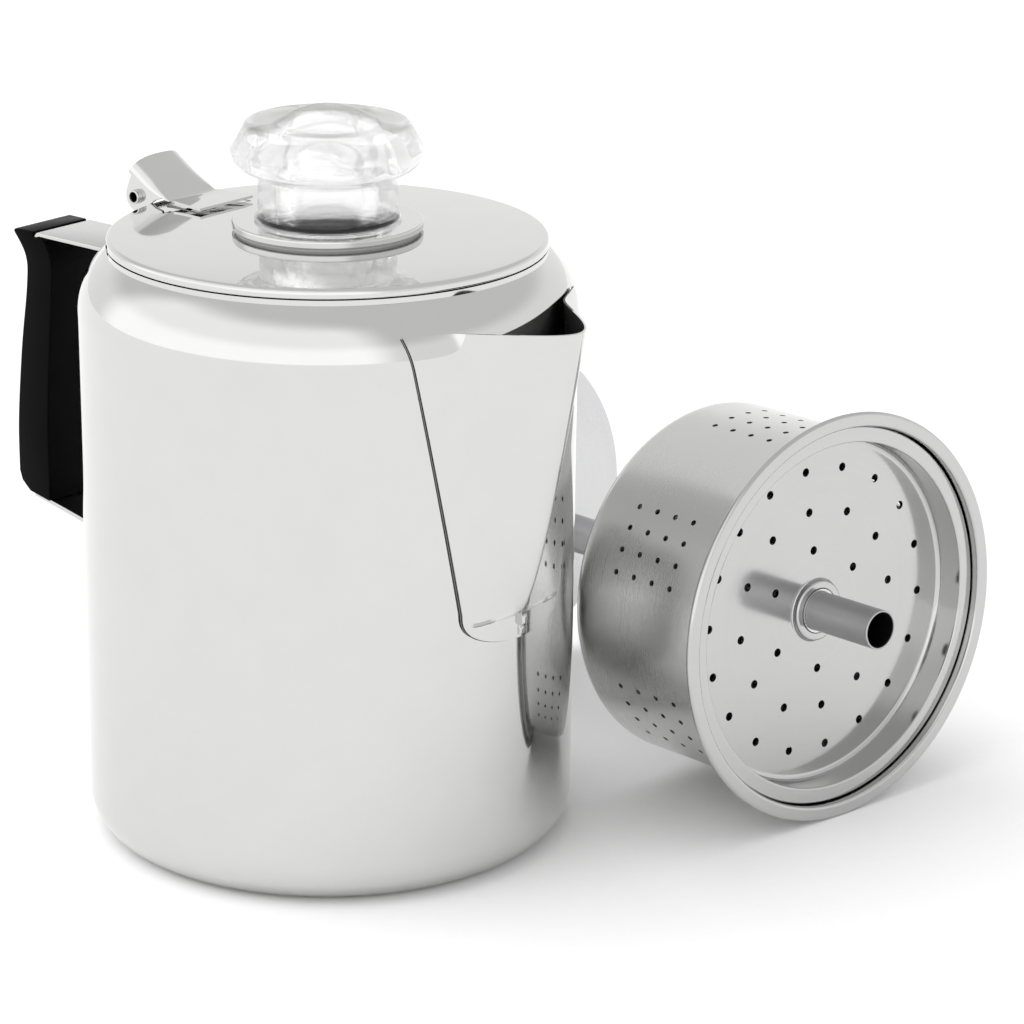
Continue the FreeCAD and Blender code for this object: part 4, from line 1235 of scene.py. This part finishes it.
# ---- pump ------------------------------------------------------------------------------------
@dataclass
class Pump(Assembly):
    """The stem with its base bell, the basket and the spreader.

    Heights count along the stem from the basket's rim, towards the stem's free end.

    Attributes:
        stem_r: outside radius of the stem.
        stem_bore: its inside radius.
        nose: how far its free end stands out of the basket.
        stem_length: its whole length.
        sheet: thickness of the basket's and the spreader's sheet.
        sleeve_r: radius of the hole round the stem, in the basket and the spreader.
        basket_r: the basket's outside radius.
        basket_l: its depth.
        step_r: inside radius of the step in its rim.
        step_deep: how deep the step lies.
        flange_r: outside radius of the turned-out rim.
        flange_t: thickness of that rim.
        hole_r: radius of the basket's holes.
        plate_deep: how deep the spreader's plate lies.
        dish_r: outside radius of the spreader's dish.
        lip_r: outside radius of its lip.
        plate_hole_r: radius of the spreader's holes.
        bell_r: radius of the base bell.
        bell_sheet: its thickness.
        bell_low: height of the bell's rim.
        bell_high: height of the bell's top.
        crown_r: radius of the flat round the stem on the bell and the stop.
    """

    stem_r: float = 5.35
    stem_bore: float = 4.75
    nose: float = 13.6
    stem_length: float = 152.6
    sheet: float = 0.7
    sleeve_r: float = 6.05
    basket_r: float = 49.3
    basket_l: float = 54.0
    step_r: float = 52.2
    step_deep: float = 3.4
    flange_r: float = 56.2
    flange_t: float = 1.8
    hole_r: float = 0.8
    plate_deep: float = 10.9
    dish_r: float = 48.3
    lip_r: float = 51.8
    plate_hole_r: float = 1.2
    bell_r: float = 50.0
    bell_sheet: float = 0.8
    bell_low: float = -148.0
    bell_high: float = -136.6
    crown_r: float = 8.2

    def place(self) -> Matrix:
        """Where the pump lies: its own Z axis runs along the stem."""
        joint = next(j for j in frame["joints"] if j["name"] == "basket_slide")
        along = Vector(joint["axis"]).normalized()
        side = Vector((0, 0, 1)).cross(along).normalized()
        up = along.cross(side)
        low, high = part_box("stem_tube")
        width = 2 * self.stem_r * MM * math.sqrt(1 - along.x ** 2)
        length = (high.x - low.x - width) / along.x
        rim = (low + high) / 2 + along * (length / 2 - self.nose * MM)
        turn = Matrix((side, up, along)).transposed().to_4x4()
        return Matrix.Translation(rim) @ turn

    def put(self, piece: bpy.types.Object) -> bpy.types.Object:
        """Lay a piece that was turned round Z along the pump's axis."""
        piece.matrix_world = self.place()
        return piece

    def basket(self) -> None:
        """The drilled cup with its stepped, rolled rim."""
        inside, floor = self.basket_r - self.sheet, self.sheet - self.basket_l
        step, under = self.step_r + self.sheet, -self.step_deep - self.sheet
        cup = rounded([(self.sleeve_r, -self.basket_l, 0.0), (self.basket_r, -self.basket_l, 3.0),
                       (self.basket_r, under, 0.4), (step, under, 0.6), (step, -self.flange_t, 0.3),
                       (self.flange_r, -self.flange_t, 0.85), (self.flange_r, 0.0, 0.85),
                       (self.step_r, 0.0, 0.9), (self.step_r, -self.step_deep, 0.5),
                       (inside, -self.step_deep, 0.9), (inside, floor, 2.3),
                       (self.sleeve_r, floor, 0.0)], 6)
        piece = lathe("basket_cup", cup, 256)
        drill(piece, self.wall_holes() + self.floor_holes(), self.hole_r, 4.0)
        self.seat(self.put(piece), "basket", "turned_steel", SPUN_STEEL, "basket_shell")
        self.wardrobe.line(piece, PRESSED_STEEL, self.faces_in)

    def faces_in(self, middle: Vector, normal: Vector) -> bool:
        """Whether a face of the basket is on its rim or looks to its inside."""
        if middle.z > -self.step_deep - 0.9:
            return True
        out = Vector((middle.x, middle.y, 0)).length
        return out < self.basket_r - 0.6 and middle.z > 0.5 - self.basket_l

    def wall_holes(self) -> list[tuple[Vector, Vector]]:
        """The square patches of holes round the basket's wall, each with its direction."""
        patches, side, turn, step = 6, 4, 7.2, 7.0
        holes = []
        for patch in range(patches):
            for i in range(side):
                for j in range(side):
                    angle = math.radians(92 + 360 / patches * patch + (j - 1.5) * turn)
                    out = Vector((math.cos(angle), math.sin(angle), 0))
                    holes.append((out * 49 + Vector((0, 0, -28 + (i - 1.5) * step)), out))
        return holes

    def floor_holes(self) -> list[tuple[Vector, Vector]]:
        """The two rings of holes in the basket's floor."""
        height = self.sheet / 2 - self.basket_l
        return self.ring(20.0, 8, 0.0, height) + self.ring(32.0, 16, 0.0, height)

    def ring(self, radius: float, count: int, phase: float, height: float) -> list[tuple[Vector, Vector]]:
        """A ring of holes that run along the axis, started at an angle in degrees."""
        holes = []
        for i in range(count):
            angle = math.radians(phase + i * 360 / count)
            spot = Vector((radius * math.cos(angle), radius * math.sin(angle), height))
            holes.append((spot, Vector((0, 0, 1))))
        return holes

    def spreader(self) -> None:
        """The drilled plate in the basket's mouth."""
        inside, top = self.dish_r - self.sheet, -self.plate_deep
        low, neck, lip = top - self.sheet, top + 1.6, -2.5
        dish = rounded([(8.7, low, 0.6), (self.dish_r, low, 1.6), (self.dish_r, lip - self.sheet, 0.3),
                        (self.lip_r, lip - self.sheet, 0.3), (self.lip_r, lip, 0.3), (inside, lip, 0.5),
                        (inside, top, 1.6), (8.7, top, 0.4), (8.2, neck, 0.7), (6.15, neck, 0.5),
                        (6.15, neck - self.sheet, 0.2), (7.6, neck - self.sheet, 0.2)], 6)
        piece = lathe("spreader_dish", dish, 256)
        holes = []
        for radius, count, phase in ((39.3, 18, -4.5), (27.8, 12, 5.0), (16.8, 6, 32.5)):
            holes += self.ring(radius, count, phase, top - self.sheet / 2)
        drill(piece, holes, self.plate_hole_r, 4.0)
        self.seat(self.put(piece), "spreader", "turned_steel", PRESSED_STEEL, "spreader_plate")

    def stem(self) -> None:
        """The stem tube with its softly broken rims."""
        low, high = self.nose - self.stem_length, self.nose
        outline = rounded([(self.stem_r, low, 0.15), (self.stem_r, high, 0.2),
                           (self.stem_bore, high, 0.2), (self.stem_bore, low, 0.15)], 3)
        piece = lathe("stem_drawn", outline, 96)
        self.seat(self.put(piece), "pump", "turned_aluminium", DRAWN_ALUMINIUM, "stem_tube")
        # the stem's bore gets dark grey steel: painted shade in the bore
        self.wardrobe.line(piece, SHADED_INSIDE_STEEL, lambda middle, normal: normal.dot(
            Vector((middle.x, middle.y, 0))) < -0.2)

    def foot(self) -> None:
        """The base bell with the ferrule that holds it and the stop under the basket."""
        stem, high, low = self.stem_r, self.bell_high, self.bell_low
        under, rim = high - self.bell_sheet, low + self.bell_sheet
        bell = rounded([(stem, high, 0.1), (self.crown_r, high, 0.8), (45.0, rim + 0.8, 2.0),
                        (self.bell_r, rim, 0.3), (self.bell_r, low, 0.3), (44.6, rim, 2.0),
                        (self.crown_r, under, 0.8), (stem, under, 0.1)], 5)
        ferrule = rounded([(stem, -135.8, 0.0), (9.4, -135.8, 0.3), (7.4, -135.0, 0.3),
                           (6.15, -125.8, 0.5), (6.15, -123.8, 0.3), (stem, -123.8, 0.0)], 4)
        stop = rounded([(stem, -57.2, 0.0), (self.crown_r, -57.2, 0.5),
                        (self.crown_r, -54.2, 0.5), (stem, -54.2, 0.0)], 4)
        for name, outline, node in (("bell_spun", bell, "stem_bell"),
                                    ("ferrule_pressed", ferrule, "stem_ferrule"),
                                    ("basket_stop_ring", stop, "basket_stop")):
            piece = self.put(lathe(name, outline, 192))
            self.seat(piece, "pump", "turned_aluminium", SPUN_ALUMINIUM, node)

    def build(self) -> None:
        """Build the pump's pieces."""
        self.basket()
        self.spreader()
        self.stem()
        self.foot()
        self.keep("basket_sleeve", SPUN_STEEL)


# ---- studio --------------------------------------------------------------------------------------
@dataclass
class Studio:
    """The pale floor, the soft light and the camera.

    Attributes:
        eye: the camera's place, in millimetres.
        yaw: how far the camera looks to the right of the pot's axis, in degrees.
        pitch: how far it looks down, in degrees.
        roll: how far it leans, in degrees.
        turn: the direction that it is seen from, round the pot, in degrees.
        lens: the focal length on a 36 mm sensor.
        screen: the direction of the large white screen.
        lamp_place: where the soft light is drawn, in metres.
        lamp_aim: the way it shines.
        lamp_energy: its strength.
        lamp_spread: how wide it looks, in degrees.
        floor_r: the floor's radius, in metres.
    """

    eye: tuple[float, float, float] = (651.8, -708.9, 405.0)
    yaw: float = 2.87
    pitch: float = 18.34
    roll: float = 0.52
    turn: float = 42.6
    lens: float = 134.72
    screen: tuple[float, float, float] = (-0.092, -0.996, 0.0)
    lamp_place: tuple[float, float, float] = (-1.0, -1.0, 2.0)
    lamp_aim: tuple[float, float, float] = (0.45, 0.35, -1.0)
    lamp_energy: float = 1.5
    lamp_spread: float = 70.0
    floor_r: float = 9.0

    def camera(self) -> None:
        """Set the camera where the percolator is seen from."""
        heading = math.radians(self.turn - self.yaw)
        down = math.radians(self.pitch)
        ahead = Vector((-math.sin(heading) * math.cos(down), math.cos(heading) * math.cos(down),
                        -math.sin(down)))
        right = ahead.cross(Vector((0, 0, 1))).normalized()
        up = right.cross(ahead)
        lean = math.radians(self.roll)
        right, up = (right * math.cos(lean) + up * math.sin(lean),
                     up * math.cos(lean) - right * math.sin(lean))
        data = bpy.data.cameras.new("camera")
        data.lens = self.lens
        data.sensor_width = 36.0
        data.clip_end = 50.0
        camera = add_object("camera", data)
        turn = Matrix((right, up, -ahead)).transposed().to_4x4()
        camera.matrix_world = Matrix.Translation(Vector(self.eye) * MM) @ turn
        bpy.context.scene.camera = camera

    def floor(self) -> None:
        """A wide pale sheet of matt card."""
        shape = bmesh.new()
        bmesh.ops.create_circle(shape, cap_ends=True, segments=96, radius=self.floor_r)
        mesh = bpy.data.meshes.new("floor")
        shape.to_mesh(mesh)
        shape.free()
        piece = add_object("floor", mesh)
        material, tree, shader = new_material("card_matt_white")
        shader.inputs["Roughness"].default_value = 0.9
        shader.inputs["Specular IOR Level"].default_value = 0.15
        place = add_node(tree, "ShaderNodeTexCoord").outputs["Object"]
        fibre = noise(tree, place, CARD_FIBRES, 3.0)
        colour = add_node(tree, "ShaderNodeMix", {"Factor": fibre, "A": linear("#F4F4F4"),
                                                  "B": linear("#F1F1F1")}, data_type="RGBA")
        tree.links.new(colour.outputs["Result"], shader.inputs["Base Color"])
        mesh.materials.append(material)

    def sky(self) -> None:
        """A pale room with a large bright screen on one side and a greyer roof."""
        world = bpy.data.worlds.new("room")
        bpy.context.scene.world = world
        world.use_nodes = True
        tree = world.node_tree
        place = add_node(tree, "ShaderNodeTexCoord").outputs["Generated"]
        height = add_node(tree, "ShaderNodeSeparateXYZ", {0: place}).outputs["Z"]
        front = add_node(tree, "ShaderNodeVectorMath", {0: place, 1: self.screen}, operation="DOT_PRODUCT")
        spread = add_node(tree, "ShaderNodeMapRange", {"Value": front.outputs["Value"], "From Min": 0.12,
                                                       "From Max": 0.45, "To Max": 0.50},
                          interpolation_type="SMOOTHSTEP")
        high = add_node(tree, "ShaderNodeMapRange", {"Value": height, "From Min": 0.93,
                                                     "From Max": 0.70},
                        interpolation_type="SMOOTHSTEP")
        screen = add_node(tree, "ShaderNodeMath", {0: spread.outputs[0], 1: high.outputs[0]},
                          operation="MULTIPLY")
        ring = add_node(tree, "ShaderNodeMapRange", {"Value": height, "From Min": 0.50, "From Max": 0.26,
                                                     "To Min": 0.78, "To Max": 1.02},
                        interpolation_type="SMOOTHSTEP")
        total = add_node(tree, "ShaderNodeMath", {0: screen.outputs[0], 1: ring.outputs[0]},
                         operation="ADD")
        tree.links.new(total.outputs[0], tree.nodes["Background"].inputs["Strength"])
        tree.nodes["Background"].inputs["Color"].default_value = linear("#FFFFFF")

    def lamp(self) -> None:
        """One very soft light from above, which the metal doesn't mirror."""
        data = bpy.data.lights.new("soft_light", "SUN")
        data.energy = self.lamp_energy
        data.angle = math.radians(self.lamp_spread)
        lamp = add_object("soft_light", data)
        turn = Vector(self.lamp_aim).to_track_quat("-Z", "Y").to_matrix().to_4x4()
        lamp.matrix_world = Matrix.Translation(self.lamp_place) @ turn
        lamp.visible_glossy = False

    def build(self) -> None:
        """Set up the whole studio."""
        self.camera()
        self.floor()
        self.sky()
        self.lamp()
        bpy.context.scene.view_settings.view_transform = "Standard"


def main() -> None:
    """Build every assembly, then the studio."""
    logging.basicConfig(level=logging.INFO, format="%(name)s: %(message)s")
    wardrobe = Wardrobe()
    for assembly in (Pot(wardrobe), Grip(wardrobe), Lid(wardrobe), Knob(wardrobe), Pump(wardrobe)):
        assembly.build()
    Studio().build()


if __name__ == "__main__":
    main()
